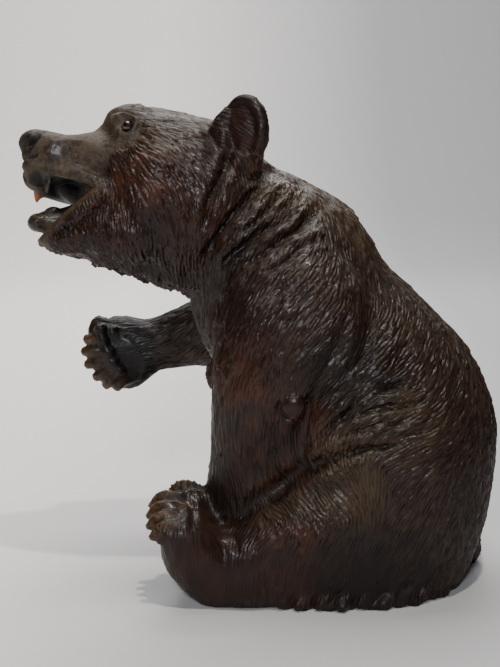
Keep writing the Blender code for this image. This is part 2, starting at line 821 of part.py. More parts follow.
def carved_wood(block, head, frames):
    """The whole figure but for its eyes: one skin, cut flat where it sits."""
    details = ears(head) + nose(head) + mouth(head) + eyelids(frames)
    details += hind_toes(LEFT, 0) + hind_toes(RIGHT, RIGHT_LEG_DRAWN_BACK)
    details += ground_toes(LEFT) + raised_toes()
    details += throat_tufts(head) + hem_tufts() + small_bumps()
    mesh = fused("figure", [block, *details], DETAIL_VOXEL, DETAIL_SMOOTHING)
    skin = Sculpture(mesh)
    press_creases(skin)
    press_face(skin, head)
    carve_locks(skin)
    mesh = thinned(mesh, WOOD_TRIANGLES)
    cut_flat(mesh)
    return mesh


def ball(name, radius, place):
    bm = bmesh.new()
    bmesh.ops.create_uvsphere(
        bm, u_segments=EYE_SEGMENTS, v_segments=EYE_RINGS, radius=radius
    )
    mesh = bpy.data.meshes.new(name)
    bm.to_mesh(mesh)
    bm.free()
    made = bpy.data.objects.new(name, mesh)
    made.location = place
    bpy.context.scene.collection.objects.link(made)
    return made


def finish(name, colour, roughness):
    """A plain surface finish of one colour."""
    made = bpy.data.materials.new(name)
    made.use_nodes = True
    shader = made.node_tree.nodes["Principled BSDF"]
    shader.inputs["Base Color"].default_value = (*colour, 1)
    shader.inputs["Roughness"].default_value = roughness
    shader.inputs["Metallic"].default_value = 0
    return made


def cut_socket(wood, name, place):
    """Bores a round socket that leaves a thin gap all round its eye."""
    cutter = ball(name, EYE_RADIUS + EYE_GAP, place)
    cutter.hide_render = True
    cutter.display_type = "WIRE"
    socket = wood.modifiers.new(name, "BOOLEAN")
    socket.operation = "DIFFERENCE"
    socket.object = cutter


def main():
    clear_scene()
    head = head_place()
    block = fused("block", block_masses(head), BLOCK_VOXEL, BLOCK_SMOOTHING)
    frames = eye_frames(head, block)
    mesh = carved_wood(block, head, frames)

    # The origin lies on the ground, midway along the figure and across it.
    corners = np.array([vert.co for vert in mesh.vertices])
    middle = (corners.min(axis=0) + corners.max(axis=0)) / 2
    shift = Vector((-middle[0], -middle[1], 0))
    mesh.transform(Matrix.Translation(shift))

    wood = bpy.data.objects.new("carved_bear", mesh)
    bpy.context.scene.collection.objects.link(wood)
    mesh.materials.append(finish("varnished_wood", (0.045, 0.024, 0.016), 0.35))
    glass = finish("dark_glass", (0.02, 0.01, 0.006), 0.06)
    for side, (centre, _, _, _) in zip(("left", "right"), frames):
        place = centre + shift
        eye = ball("glass_eye_" + side, EYE_RADIUS, place)
        eye.data.shade_smooth()
        eye.data.materials.append(glass)
        cut_socket(wood, "socket_" + side, place)


main()
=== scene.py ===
"""The looks of a seated bear carved from one block of dark, varnished wood."""

import math

import bmesh
import bpy
import numpy as np
from mathutils import Matrix, Vector


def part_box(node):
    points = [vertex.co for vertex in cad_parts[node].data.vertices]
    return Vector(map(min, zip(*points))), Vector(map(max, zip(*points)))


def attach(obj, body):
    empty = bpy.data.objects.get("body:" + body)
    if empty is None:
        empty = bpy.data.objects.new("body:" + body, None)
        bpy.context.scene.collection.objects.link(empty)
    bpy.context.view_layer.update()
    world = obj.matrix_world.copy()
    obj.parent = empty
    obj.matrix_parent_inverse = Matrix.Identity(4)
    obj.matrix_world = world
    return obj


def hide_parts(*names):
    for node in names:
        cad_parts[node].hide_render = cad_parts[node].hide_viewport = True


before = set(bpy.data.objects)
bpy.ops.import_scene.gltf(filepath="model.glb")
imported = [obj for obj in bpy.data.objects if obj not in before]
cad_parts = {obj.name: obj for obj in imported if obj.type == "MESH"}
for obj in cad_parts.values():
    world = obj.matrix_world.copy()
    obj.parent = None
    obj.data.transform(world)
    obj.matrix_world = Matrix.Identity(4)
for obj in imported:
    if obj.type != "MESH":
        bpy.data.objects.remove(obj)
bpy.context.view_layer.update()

# The block of wood
# The real figure is one block of limewood or walnut, roughed out with a broad gouge.
# Its skin is taken from the solid, closed, and smoothed until no facet shows.
MM = 0.001
SKIN_VOXEL = 1.2 * MM
SKIN_PASSES = 18
FINE_PASSES = 3
LEFT, RIGHT = -1, 1

# Places are measured in millimetres from a point on the ground under the chest.
CHEST_POINT = Vector((-7.8, 0.0, 0.0))

# Places with small forms, where less is smoothed away: centre and radius.
FINE_PLACES = (
    ((-116, -6, 244), 38),
    ((-78, -26, 270), 17),
    ((-78, 20, 262), 17),
    ((-2, -33, 272), 24),
    ((-2, 41, 258), 26),
    ((-98, 50, 127), 27),
    ((-48, -55, 57), 24),
    ((-16, 55, 57), 24),
    ((-36, -27, 8), 22),
)


def placed(point):
    """A place in millimetres from the chest point, in metres in the row frame."""
    return (Vector(point) + CHEST_POINT) * MM


def mesh_of(bm, name):
    mesh = bpy.data.meshes.new(name)
    bm.to_mesh(mesh)
    bm.free()
    return mesh


def closed_mesh(bm, name="shape"):
    bmesh.ops.recalc_face_normals(bm, faces=bm.faces)
    return mesh_of(bm, name)


def node_copy(node):
    """The solid's mesh, with its loose triangles joined at their corners."""
    bm = bmesh.new()
    bm.from_mesh(node.data)
    bmesh.ops.remove_doubles(bm, verts=bm.verts, dist=0.01 * MM)
    return closed_mesh(bm, node.name + "_copy")


def shown(name, data):
    """A new object that holds the data, linked to the scene."""
    made = bpy.data.objects.new(name, data)
    bpy.context.scene.collection.objects.link(made)
    return made


def held(name, meshes):
    """One object with all the meshes in it, as separate shells."""
    bm = bmesh.new()
    for mesh in meshes:
        bm.from_mesh(mesh)
        bpy.data.meshes.remove(mesh)
    return shown(name, mesh_of(bm, name))


def settled(holder):
    """The holder's mesh with its modifiers applied. The holder is removed."""
    graph = bpy.context.evaluated_depsgraph_get()
    mesh = bpy.data.meshes.new_from_object(holder.evaluated_get(graph))
    bpy.data.objects.remove(holder)
    return mesh


def remeshed(name, meshes, voxel):
    holder = held(name, meshes)
    skin = holder.modifiers.new("skin", "REMESH")
    skin.mode = "VOXEL"
    skin.voxel_size = voxel
    return settled(holder)


def corners(mesh):
    flat = np.empty(len(mesh.vertices) * 3)
    mesh.vertices.foreach_get("co", flat)
    return flat.reshape(-1, 3)


def normals(mesh):
    flat = np.empty(len(mesh.vertices) * 3)
    mesh.vertex_normals.foreach_get("vector", flat)
    return flat.reshape(-1, 3)


def nearness(points, centre, radius, edge):
    """1 inside the radius, falling to 0 over the edge outside it, all in millimetres."""
    far = np.linalg.norm(points - np.array(placed(centre)), axis=1) / MM
    return np.clip((radius + edge - far) / edge, 0, 1)


def places_share(points, places, edge):
    """The most that any of the places gives at the points."""
    share = np.zeros(len(points))
    for centre, radius in places:
        share = np.maximum(share, nearness(points, centre, radius, edge))
    return share


def softened(mesh, passes, weights):
    """The mesh smoothed in all passes where the weight is 1."""
    holder = shown("softened", mesh)
    group = holder.vertex_groups.new(name="soft")
    steps = np.round(weights * 20).astype(int)
    for step in np.unique(steps):
        group.add(np.flatnonzero(steps == step).tolist(), step / 20, "REPLACE")
    soften = holder.modifiers.new("soften", "SMOOTH")
    soften.factor = 0.5
    soften.iterations = passes
    soften.vertex_group = "soft"
    return settled(holder)


block = remeshed("block", [node_copy(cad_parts["carved_bear"])], SKIN_VOXEL)
fine = places_share(corners(block), FINE_PLACES, 6)
block = softened(block, SKIN_PASSES, 1 - fine * (1 - FINE_PASSES / SKIN_PASSES))

# The nose and the lips
# The nose pad and the two lips are carved full and smooth, then sanded and polished.
# The head is turned towards its left, and cocked so that its right side hangs lower.
HEAD_PIVOT = placed((-50, 0, 243))
HEAD_YAW = math.radians(9)
HEAD_ROLL = math.radians(-14)
HORN_SIDES = 14


def head_frame():
    """Turns millimetres in the upright head's own frame into the row frame's metres."""
    turn = Matrix.Rotation(HEAD_YAW, 4, "Z") @ Matrix.Rotation(HEAD_ROLL, 4, "X")
    into = Matrix.Translation(HEAD_PIVOT) @ turn @ Matrix.Translation(-HEAD_PIVOT)
    return into @ Matrix.Translation(CHEST_POINT * MM) @ Matrix.Scale(MM, 4)


HEAD = head_frame()
BODY = Matrix.Translation(CHEST_POINT * MM) @ Matrix.Scale(MM, 4)


def curve_through(rows, steps):
    """The rows, with steps - 1 further rows on a smooth curve between each two."""
    rows = [np.array(row, float) for row in rows]
    ends = [2 * rows[0] - rows[1], *rows, 2 * rows[-1] - rows[-2]]
    smooth = []
    for a, b, c, d in zip(ends, ends[1:], ends[2:], ends[3:]):
        for step in range(steps):
            t = step / steps
            bend = (2 * a - 5 * b + 4 * c - d) * t**2 + (3 * b - a - 3 * c + d) * t**3
            smooth.append(0.5 * (2 * b + (c - a) * t + bend))
    return [*smooth, rows[-1]]


def horn(points, radii, place=BODY, steps=4):
    """A round horn through the points, with a radius at each."""
    rows = curve_through([(*p, r) for p, r in zip(points, radii)], steps)
    bm = bmesh.new()
    loops = []
    for i, row in enumerate(rows):
        before, after = rows[max(i - 1, 0)], rows[min(i + 1, len(rows) - 1)]
        turn = Vector(after[:3] - before[:3]).to_track_quat("Z", "Y")
        loop = []
        for k in range(HORN_SIDES):
            angle = math.tau * k / HORN_SIDES
            spoke = Vector((math.cos(angle), math.sin(angle), 0)) * row[3]
            loop.append(bm.verts.new(place @ (Vector(row[:3]) + turn @ spoke)))
        loops.append(loop)
    for here, there in zip(loops, loops[1:]):
        for k in range(HORN_SIDES):
            j = (k + 1) % HORN_SIDES
            bm.faces.new((here[k], here[j], there[j], there[k]))
    for loop, row, inner in ((loops[0], rows[0], rows[1]), (loops[-1], rows[-1], rows[-2])):
        out = Vector(row[:3] - inner[:3]).normalized() * row[3] * 0.7
        tip = bm.verts.new(place @ (Vector(row[:3]) + out))
        for k in range(HORN_SIDES):
            bm.faces.new((tip, loop[k], loop[(k + 1) % HORN_SIDES]))
    return closed_mesh(bm)


def egg(centre, radii, turn=None, place=BODY):
    """A ball stretched to three radii, turned, at its centre, all in millimetres."""
    bm = bmesh.new()
    bmesh.ops.create_uvsphere(bm, u_segments=32, v_segments=20, radius=1)
    shape = (turn or Matrix.Identity(3)) @ Matrix.Diagonal(Vector(radii))
    for vert in bm.verts:
        vert.co = place @ (Vector(centre) + shape @ vert.co)
    return closed_mesh(bm)


def nose_and_lips():
    shapes = [
        egg((-128, 0, 268), (10.5, 10.5, 8.3), place=HEAD),
        egg((-126.5, 0, 260), (10, 9, 9), place=HEAD),
        egg((-127.5, 6, 248.5), (9, 8, 8.7), place=HEAD),
        egg((-127, -6.5, 252.5), (9.4, 7.8, 6), place=HEAD),
    ]
    hanging = ((-128, 9, 244), (-118, 14, 241.5), (-108, 17, 239), (-98, 20, 238), (-88, 23, 238.5))
    raised = (
        (-125, -12, 251),
        (-114, -16.5, 247.5),
        (-106, -19.5, 245),
        (-98, -23, 242),
        (-93.5, -25.5, 239.5),
    )
    shapes.append(horn(hanging, (5.4, 5.6, 5.6, 6, 6.5), HEAD))
    shapes.append(horn(raised, (3.6, 3.3, 3.3, 3.5, 3.4), HEAD))
    return shapes


muzzle_shapes = nose_and_lips()

# The teeth, the tongue and the lower lip
# Two upper canines are left standing, and the tongue fills the lower jaw. All are cut
# from the same wood, with a thin rim left for the lower lip.


def canines():
    near = ((-122.5, -12, 249), (-122.7, -12.3, 242), (-122.4, -12, 235.8))
    far = ((-127, 12, 244), (-128.6, 12, 239), (-128.6, 11.5, 234.2))
    return [horn(near, (2.4, 2.0, 1.0), HEAD)], [horn(far, (2.4, 1.9, 0.8), HEAD)]


def tongue_and_lower_lip():
    tongue = ((-84, 0, 229), (-98, 0, 225), (-112, 0, 221.5), (-123, 0, 220.5), (-129.5, 0, 219))
    gum = ((-84, 7, 236), (-98, 8, 237), (-110, 10, 242), (-120, 9, 247))
    inside = [horn(tongue, (9, 8.5, 7.5, 6.8, 5.2), HEAD), horn(gum, (12, 10.5, 7, 4), HEAD)]
    inside.append(egg((-128.5, 0, 220), (6, 7.5, 5.6), place=HEAD))
    inside.append(egg((-119, -3, 226), (5, 5, 3), place=HEAD))
    rims, jaws = [], []
    for side in (LEFT, RIGHT):
        lip = (
            (-89, side * 26.5, 237),
            (-94, side * 26.5, 233.5),
            (-99, side * 25, 230.5),
            (-106.5, side * 21.3, 225),
            (-113, side * 17.3, 220),
            (-118, side * 14, 216),
            (-123, side * 10, 211),
            (-126.5, side * 4, 208),
        )
        rims.append(horn(lip, (2.4, 2.3, 2.2, 2.1, 2.1, 2.1, 2.3, 2.5), HEAD))
        behind = ((-88, 26.5, 232), (-96, 25, 227), (-104, 22, 221), (-110, 18, 217))
        behind = [(x, side * y, z) for x, y, z in behind]
        jaws.append(horn(behind, (4.4, 4.4, 4.2, 3.6), HEAD))
    return inside, rims, jaws


near_tooth, far_tooth = canines()
mouth_shapes, lip_shapes, jaw_shapes = tongue_and_lower_lip()

# The eyelids
# A low ring of wood stands round each glass eye, and a knob of brow in front of it.
# The eyes' places come from the two balls in the frame.
LID_STEPS = 8
LID_HALF_WIDTH = 5.4
UPPER_LID = (4.7, 1.2)
LOWER_LID = (-4.4, 0.9)


def eye_seat(side):
    """An eye's centre and its ways out, forward and up, in the row frame."""
    low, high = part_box("glass_eye_left" if side == LEFT else "glass_eye_right")
    turn = HEAD.to_3x3().normalized()
    out = (turn @ Vector((-0.5, side * 0.82, 0.28))).normalized()
    forward = turn @ Vector((-1, 0, -0.25))
    forward = (forward - out * forward.dot(out)).normalized()
    return (low + high) / 2, out, forward, out.cross(forward) * -side


def eyelids():
    shapes = []
    to_mm = BODY.inverted()
    for side in (LEFT, RIGHT):
        centre, out, forward, up = eye_seat(side)
        for height, plump in (UPPER_LID, LOWER_LID):
            points, radii = [], []
            for k in range(LID_STEPS + 1):
                angle = math.pi * k / LID_STEPS
                across = forward * math.cos(angle) * LID_HALF_WIDTH + up * math.sin(angle) * height
                lifted = out * (1.0 + 0.4 * math.sin(angle))
                points.append(to_mm @ (centre + (across + lifted) * MM))
                radii.append(plump * (0.7 + 0.6 * math.sin(angle)))
            shapes.append(horn(points, radii, steps=2))
        shapes.append(egg((-82.5, side * 26.4, 276.2), (2.6, 2.6, 3.2), place=HEAD))
    return shapes


lid_shapes = eyelids()

# The ears
# Each ear is a thick rounded pad that leans out, carved from the same block as the
# head. A rim rolls round it, and its hollow is filled almost flush.
RIM_STEPS = 12
RIM_HALF_WIDTH = 12.3
RIM_HALF_HEIGHT = 17.6


def ear_middle(side):
    return Vector((-7, side * 41, 266))


def ear_turn(side):
    lean = Matrix.Rotation(math.radians(-side * 14), 3, "X")
    return lean @ Matrix.Rotation(math.radians(side * 40), 3, "Z")


def ear_pads():
    """The rolled rim of each ear, thickest behind, the pad in it and its front edge."""
    shapes = []
    for side in (LEFT, RIGHT):
        turn, middle = ear_turn(side), ear_middle(side)
        points, radii = [], []
        for k in range(RIM_STEPS + 1):
            angle = math.radians(-50 + 280 * k / RIM_STEPS)
            spoke = (math.cos(angle) * RIM_HALF_WIDTH, side * 2.5, math.sin(angle) * RIM_HALF_HEIGHT)
            points.append(middle + turn @ Vector(spoke))
            radii.append(3.4 + 0.9 * math.cos(angle))
        shapes.append(horn(points, radii, HEAD, steps=2))
        pad = middle + turn @ Vector((-1, side * 1.6, -0.5))
        shapes.append(egg(pad, (12.8, 6.2, 18), turn, HEAD))
        front = ((-23, side * 33, 265), (-19.5, side * 36, 270.5), (-14, side * 38.5, 277))
        shapes.append(horn(front, (6.5, 6.5, 6.0), HEAD))
    return shapes


ear_shapes = ear_pads()

# The paws
# The raised paw shows its palm, with pads and blunt claws side by side round its edge.
# The toes of the hind feet are long ridges, each with a low claw along its top.
RAISED_CLAWS = (
    ((-96, 43, 139.5), (-108, 44, 139)),
    ((-95.5, 41.5, 132), (-109.5, 43, 131)),
    ((-93.5, 41, 126.5), (-107.5, 43, 122)),
    ((-90.5, 41, 121), (-102, 43, 113.5)),
    ((-87, 41, 116.5), (-95.5, 43, 108)),
    ((-83, 43, 113), (-88.5, 45, 106)),
)
RAISED_PADS = (
    ((-97.5, 41, 146), 4.6),
    ((-95.5, 39.5, 139), 4.0),
    ((-92, 38.5, 131.5), 4.4),
    ((-89, 38.5, 125), 3.9),
    ((-85, 39.5, 119), 3.7),
)
HIND_TOE_FRONTS = (-50, -60, -61, -60.5, -58)
HIND_TOE_SPACING = 8.8
LEG_DRAWN_BACK = 33
GROUND_TOES = 5
GROUND_TOE_SPACING = 8.2


def raised_paw():
    """The claws of the raised paw, each with a low ridge, and its pads and hairy back."""
    claws, pads = [], [egg((-98, 50, 143), (9, 7, 9.5))]
    for root, tip in RAISED_CLAWS:
        root, tip = Vector(root), Vector(tip)
        middle = root.lerp(tip, 0.5) + Vector((0, -1.2, 0))
        claws.append(horn((root, middle, tip), (3.4, 3.9, 3.1)))
        pads.append(horn((root, root + Vector((3, 11, 0))), (5.0, 6.0)))
    for centre, radius in RAISED_PADS:
        pads.append(egg(centre, (radius, 3.6, radius * 0.85)))
    pads.append(horn(((-91, 44, 146), (-85, 43.5, 131), (-79, 44.5, 117)), (4.5, 5.2, 4.5)))
    return claws, pads


def hind_toes(side, drawn_back):
    """Five toes over the front of a foot, each with a long low claw down its front."""
    claws, toes = [], []
    turn = Matrix.Rotation(math.radians(18), 3, "Y")
    for i, front in enumerate(HIND_TOE_FRONTS):
        across = side * (36.5 + HIND_TOE_SPACING * i)
        height = 59 - 3.4 * i
        front += drawn_back
        toes.append(egg((front + 14, across, height - 2), (13.3, 5.0, 7.8), turn))
        root = Vector((front + 22, across, height + 3.4))
        middle = Vector((front + 8, across, height + 4.6))
        tip = Vector((front + 1.0, across, height - 2.5))
        claws.append(horn((root, middle, tip), (1.6, 3.1, 2.4)))
    return claws, toes


def ground_toes():
    """The toes and claws of the forepaw that stands on the ground."""
    claws, toes = [], []
    for i in range(GROUND_TOES):
        across = LEFT * (11 + GROUND_TOE_SPACING * i)
        front = -34 + 1.2 * (i - 2) ** 2
        toes.append(egg((front, across, 7), (8, 4.6, 8)))
        claw = ((front - 3, across, 10), (front - 7, across, 7), (front - 9, across, 3))
        claws.append(horn(claw, (2.6, 2.6, 1.6)))
    return claws, toes


claw_shapes, toe_shapes = raised_paw()
for claws, toes in (
    hind_toes(LEFT, 0),
    hind_toes(RIGHT, LEG_DRAWN_BACK),
    ground_toes(),
):
    claw_shapes += claws
    toe_shapes += toes

# The throat, the hem and the elbows
# Ragged tufts hang from the jaw, and longer locks reach the ground round the haunches.
# Each elbow is left as a smooth knob that stands out of the hair.
THROAT_ROWS = 13
HEM_STEPS = 5
HEM_MIDDLE = 78
HEM = (
    (20, -74), (55, -75), (92, -68), (115, -47), (124, -20),
    (126, 12), (121, 42), (98, 64), (60, 73),
)


def throat_tufts():
    shapes = []
    for i in range(THROAT_ROWS):
        along = i / (THROAT_ROWS - 1)
        for row in (-2, -1, 0, 1, 2):
            x = -96 + 60 * along + 2.4 * ((row * 3 + i) % 3)
            y = row * (5 + 4.5 * along)
            z = 203 - 19 * along + 0.6 * abs(row)
            reach = 4.5 + 1.8 * ((i * 2 + row) % 3)
            root, tip = Vector((x - 3, y, z + 5)), Vector((x + 3, y * 1.06, z - reach))
            shapes.append(horn((root, root.lerp(tip, 0.5), tip), (4.2, 4.1, 2.9), HEAD))
    return shapes


def hem_tufts():
    """Locks of uneven width, laid down to the ground over each other."""
    shapes = []
    for i, (x, y) in enumerate(curve_through(HEM, HEM_STEPS)):
        inward = Vector((HEM_MIDDLE - x, -y, 0)).normalized()
        if abs(y) > 60:
            inward = Vector((0, -math.copysign(1, y), 0))
        foot = Vector((x + (0, 3, -2, 1.5, 4)[i % 5], y, 0))
        reach = (0.2, 2.0, -1.5, 1.0, -0.5, 2.4, -1.0)[i % 7]
        root = foot + inward * 5.5 + Vector((6, 0, 20 + 4 * (i % 3)))
        middle = foot + inward * 2.6 + Vector((2.5, 0, 9))
        tip = foot - inward * reach + Vector((-3, 0, 2.4))
        shapes.append(horn((root, middle, tip), (2.2, 4.0, 2.6 + 0.6 * (i % 3))))
    return shapes


def elbow_knobs():
    return [egg((24.5, side * 72.5, 122.5), (7, 5.5, 7.5)) for side in (LEFT, RIGHT)]


tuft_shapes = throat_tufts() + hem_tufts() + elbow_knobs()

# The whole figure
# The wood is still one piece, so the fine forms and the block become one skin, and
# the folds of the hide, the nostrils and the hollows are cut into it with small gouges.
FIGURE_VOXEL = 0.62 * MM
FIGURE_PASSES = 2

# How high the wood may stand at each distance from the middle of an eye.
EYE_OPENING = ((0, 3.1, 3.3, 4.3, 5.6, 8.0), (-1, -1, 0.3, 1.35, 1.9, 5.0))

# Gouge cuts on the left side of the head, mirrored on the right: depth, half width, route.
HEAD_CUTS = (
    (2.4, 1.9, ((-126, -10, 270.5), (-127.5, -10.5, 267), (-130.2, -9, 264.4), (-133.4, -6.5, 264.4))),
    (1.3, 1.6, ((-137, -1, 257.5), (-133.7, -6, 256.5), (-128.5, -9.5, 257.5), (-123, -12.5, 261))),
    (0.5, 2.2, ((-122.5, -11, 271), (-120.5, -12.5, 266), (-121.5, -12.5, 262), (-124, -12.5, 259))),
    (0.35, 2.2, ((-121, -17, 256), (-115, -19, 254), (-108, -22, 253), (-100, -25, 251))),
    (0.5, 1.0, ((-80, -29, 267), (-76, -31, 266.8), (-71, -33, 268), (-66, -34, 271))),
    (0.5, 0.9, ((-68, -33, 275), (-63, -35, 274), (-58, -37, 271))),
    (0.45, 1.0, ((-85.5, -21, 279), (-81, -25, 281), (-75.5, -28, 280.5), (-70, -30, 278))),
)
SEPTUM_CUT = (1.2, 1.2)
SEPTUM = ((-138, 0, 266), (-138, 0, 259), (-137, 0, 251), (-135, 0, 243))

# The folds of the hide on the left side: depth, half width and the places they run through.
NECK_FOLDS = (
    (2.6, 2.3, (
        (11, -29, 245), (4, -34, 240), (-2, -37, 235), (-9, -40, 229), (-18, -42, 217),
        (-25, -41, 207),
    )),
    (2.8, 2.4, (
        (29, -31, 236), (20, -43, 225), (12, -45, 221), (5, -45, 216), (-5, -45, 209),
        (-17, -45, 199),
    )),
    (2.2, 2.2, (
        (37, -33, 228), (28, -43, 220), (21, -48, 215), (13, -51, 210), (3, -51, 203),
        (-6, -50, 196),
    )),
    (1.5, 2.0, ((22, -26, 243), (12, -36, 234), (2, -42, 225), (-8, -44, 217), (-20, -43, 206))),
    (1.6, 2.0, ((41, -40, 214), (30, -50, 207), (18, -55, 199), (8, -56, 192))),
    (2.6, 2.6, (
        (-9, -30, 271), (-14, -35, 255), (-18, -41, 247), (-23, -45, 237), (-25, -48, 227),
        (-29, -48, 216),
    )),
)
BODY_FOLDS = (
    (2.0, 3.8, (
        (57, -64, 181), (51, -70, 159), (42, -73, 142), (35, -71, 127), (31, -67, 115),
        (30, -67, 97), (28, -64, 81), (23, -60, 69),
    )),
    (2.2, 2.6, (
        (98, -66, 131), (84, -70, 133), (73, -74, 129), (63, -75, 127), (55, -72, 118),
        (47, -71, 113),
    )),
    (2.4, 2.4, (
        (94, -72, 116), (84, -75, 112), (74, -77, 113), (65, -77, 109), (55, -77, 107),
        (48, -77, 101),
    )),
    (1.7, 2.2, ((84, -74, 102), (73, -75, 98), (64, -75, 97), (56, -75, 93))),
    (1.5, 2.1, ((104, -69, 124), (90, -72, 121.5), (77, -75, 122), (66, -76, 118))),
    (1.5, 2.1, ((106, -74, 109), (90, -75, 106), (78, -76, 107), (68, -77, 103))),
    (1.7, 4.0, (
        (46, -74, 93), (40, -70, 88), (28, -63, 80), (20, -58, 74), (8, -58, 65),
        (-4, -56, 54),
    )),
    (1.3, 2.2, ((-25, -60, 50), (-18, -54, 46), (-8, -56, 48))),
    (1.2, 2.2, ((-36, -51, 61), (-34, -57, 55), (-33, -71, 52), (-34, -77, 48))),
    (0.7, 1.3, ((-24, -66, 52), (-19, -70, 44), (-15, -73, 36), (-14, -75, 28))),
    (0.6, 1.2, ((-17, -62, 53), (-12, -68, 47), (-8, -72, 40), (-6, -74, 32))),
    (0.9, 1.6, ((17, -73, 127), (17, -73, 121), (21, -72, 115), (28, -71, 113))),
    (0.9, 1.6, ((33, -71, 129), (35, -70, 122), (33, -70, 115))),
)


def cut_into(skin, holder, route, place, depth, width, swell=0.4):
    """Lowers the skin along the route, which is first laid on the nearest wood."""
    rows = [place @ Vector(row) for row in curve_through(route, 5)]
    rows = np.array([holder.closest_point_on_mesh(row)[1] for row in rows])
    width *= MM
    low, high = rows.min(axis=0) - 4 * width, rows.max(axis=0) + 4 * width
    near = np.flatnonzero(((skin > low) & (skin < high)).all(axis=1))
    far = np.full(len(near), 1.0)
    share = np.zeros(len(near))
    for i, (a, b) in enumerate(zip(rows, rows[1:])):
        t = np.clip((skin[near] - a) @ (b - a) / max((b - a) @ (b - a), 1e-12), 0, 1)
        gap = np.linalg.norm(skin[near] - a - t[:, None] * (b - a), axis=1)
        nearer = gap < far
        far[nearer] = gap[nearer]
        share[nearer] = ((i + t) / (len(rows) - 1))[nearer]
    taper = np.clip(np.sin(np.pi * np.clip(share, 0.04, 0.96)) * 1.8, 0, 1)
    profile = swell * np.exp(-(((far - 2.1 * width) / width) ** 2)) - np.exp(-((far / width) ** 2))
    change = np.zeros(len(skin))
    change[near] = depth * MM * profile * taper
    return change


def pressed(skin, out, centre, way, radii, depth):
    """A hollow pushed in at the centre along the way, where the wood faces against it."""
    way = np.array(Vector(way).normalized())
    reach = (skin - np.array(centre)) / (np.array(radii) * MM)
    bowl = np.clip(1 - (reach**2).sum(axis=1), 0, 1)
    facing = np.clip(-(out @ way) * 2, 0, 1)
    return (bowl * facing * depth * MM)[:, None] * way


def eye_opening(skin, side):
    """Pares the wood back round the eye, so that the ball stands out of a low ring."""
    centre, out, _, _ = eye_seat(side)
    rel = (skin - np.array(centre)) / MM
    height = rel @ np.array(out)
    aside = np.linalg.norm(rel - height[:, None] * np.array(out), axis=1)
    limit = np.interp(aside, *EYE_OPENING)
    spare = np.where((aside < 8) & (height > -4) & (height < 9), height - limit, 0)
    return -np.clip(spare, 0, 6)[:, None] * np.array(out) * MM


def gouged(mesh):
    """The figure with its folds, nostrils and hollows cut in."""
    holder = shown("gouged", mesh)
    bpy.context.view_layer.update()
    skin, out = corners(mesh), normals(mesh)
    height = np.zeros(len(skin))
    for cuts, place in ((HEAD_CUTS, HEAD), (NECK_FOLDS, BODY), (BODY_FOLDS, BODY)):
        for depth, width, route in cuts:
            for side in (LEFT, RIGHT):
                mirrored = [(x, -side * y, z) for x, y, z in route]
                height += cut_into(skin, holder, mirrored, place, depth, width)
    height += cut_into(skin, holder, SEPTUM, HEAD, *SEPTUM_CUT)
    moved = skin + out * height[:, None]
    for side in (LEFT, RIGHT):
        moved += eye_opening(moved, side)
    turn = HEAD.to_3x3().normalized()
    for side in (LEFT, RIGHT):
        nostril = HEAD @ Vector((-131.5, side * 6.8, 266.5))
        inward = turn @ Vector((0.7, -side * 0.6, 0.1))
        moved += pressed(skin, out, nostril, inward, (4.4, 4.2, 4.0), 4.4)
        hollow = HEAD @ Vector((-110, side * 21, 259))
        moved += pressed(skin, out, hollow, turn @ Vector((0, -side, 0)), (11, 9, 6.5), 1.8)
    gum = HEAD @ Vector((-127, -12, 243))
    moved += pressed(skin, out, gum, turn @ Vector((0.3, 0.9, 0.5)), (8, 7, 6.5), 3.5)
    bpy.data.objects.remove(holder)
    mesh.vertices.foreach_set("co", moved.ravel())
    mesh.update()
    return mesh


def near_shapes(skin, shapes, reach, fade=0.8):
    """1 on the skin made by the shapes, falling to 0 past the reach, in millimetres."""
    share = np.zeros(len(skin))
    for cloud in shapes:
        low, high = cloud.min(axis=0) - 3 * MM, cloud.max(axis=0) + 3 * MM
        near = np.flatnonzero(((skin > low) & (skin < high)).all(axis=1))
        if len(near) == 0:
            continue
        gap = np.full(len(near), 1.0)
        for point in cloud:
            gap = np.minimum(gap, ((skin[near] - point) ** 2).sum(axis=1))
        gap = np.sqrt(gap) / MM
        share[near] = np.maximum(share[near], np.clip((reach + fade - gap) / fade, 0, 1))
    return share


def clouds(shapes):
    return [corners(mesh) for mesh in shapes]


claw_clouds, mouth_clouds, lip_clouds = clouds(claw_shapes), clouds(mouth_shapes), clouds(lip_shapes)
near_tooth_clouds, far_tooth_clouds = clouds(near_tooth), clouds(far_tooth)
fine_shapes = muzzle_shapes + near_tooth + far_tooth + mouth_shapes + lip_shapes + jaw_shapes
fine_shapes += lid_shapes + ear_shapes + claw_shapes + toe_shapes + tuft_shapes
figure = remeshed("figure", [block, *fine_shapes], FIGURE_VOXEL)
figure = softened(figure, FIGURE_PASSES, np.ones(len(figure.vertices)))
figure = gouged(figure)

# The coat
# Each lock is one cut of a small gouge, laid like a shingle over the next one down.
# The cuts follow the lay of the hair, and run out where the face and the paws are bare.
LOCK_LENGTH = 12.0 * MM
LOCK_WIDTH = 2.25 * MM
LOCK_RISE = 0.9 * MM
GROOVE_DEPTH = 0.55 * MM
LOCK_SPACING = 2.25 * MM
LOCK_TWIST = 0.16
LOCK_SEED = 7
TWIST_SEED = 3
SIZE_SEED = 5
TINT_SEED = 9
REACH = 1.8 * MM
ARM_PULL = 3
BEAR_TRIANGLES = 195000

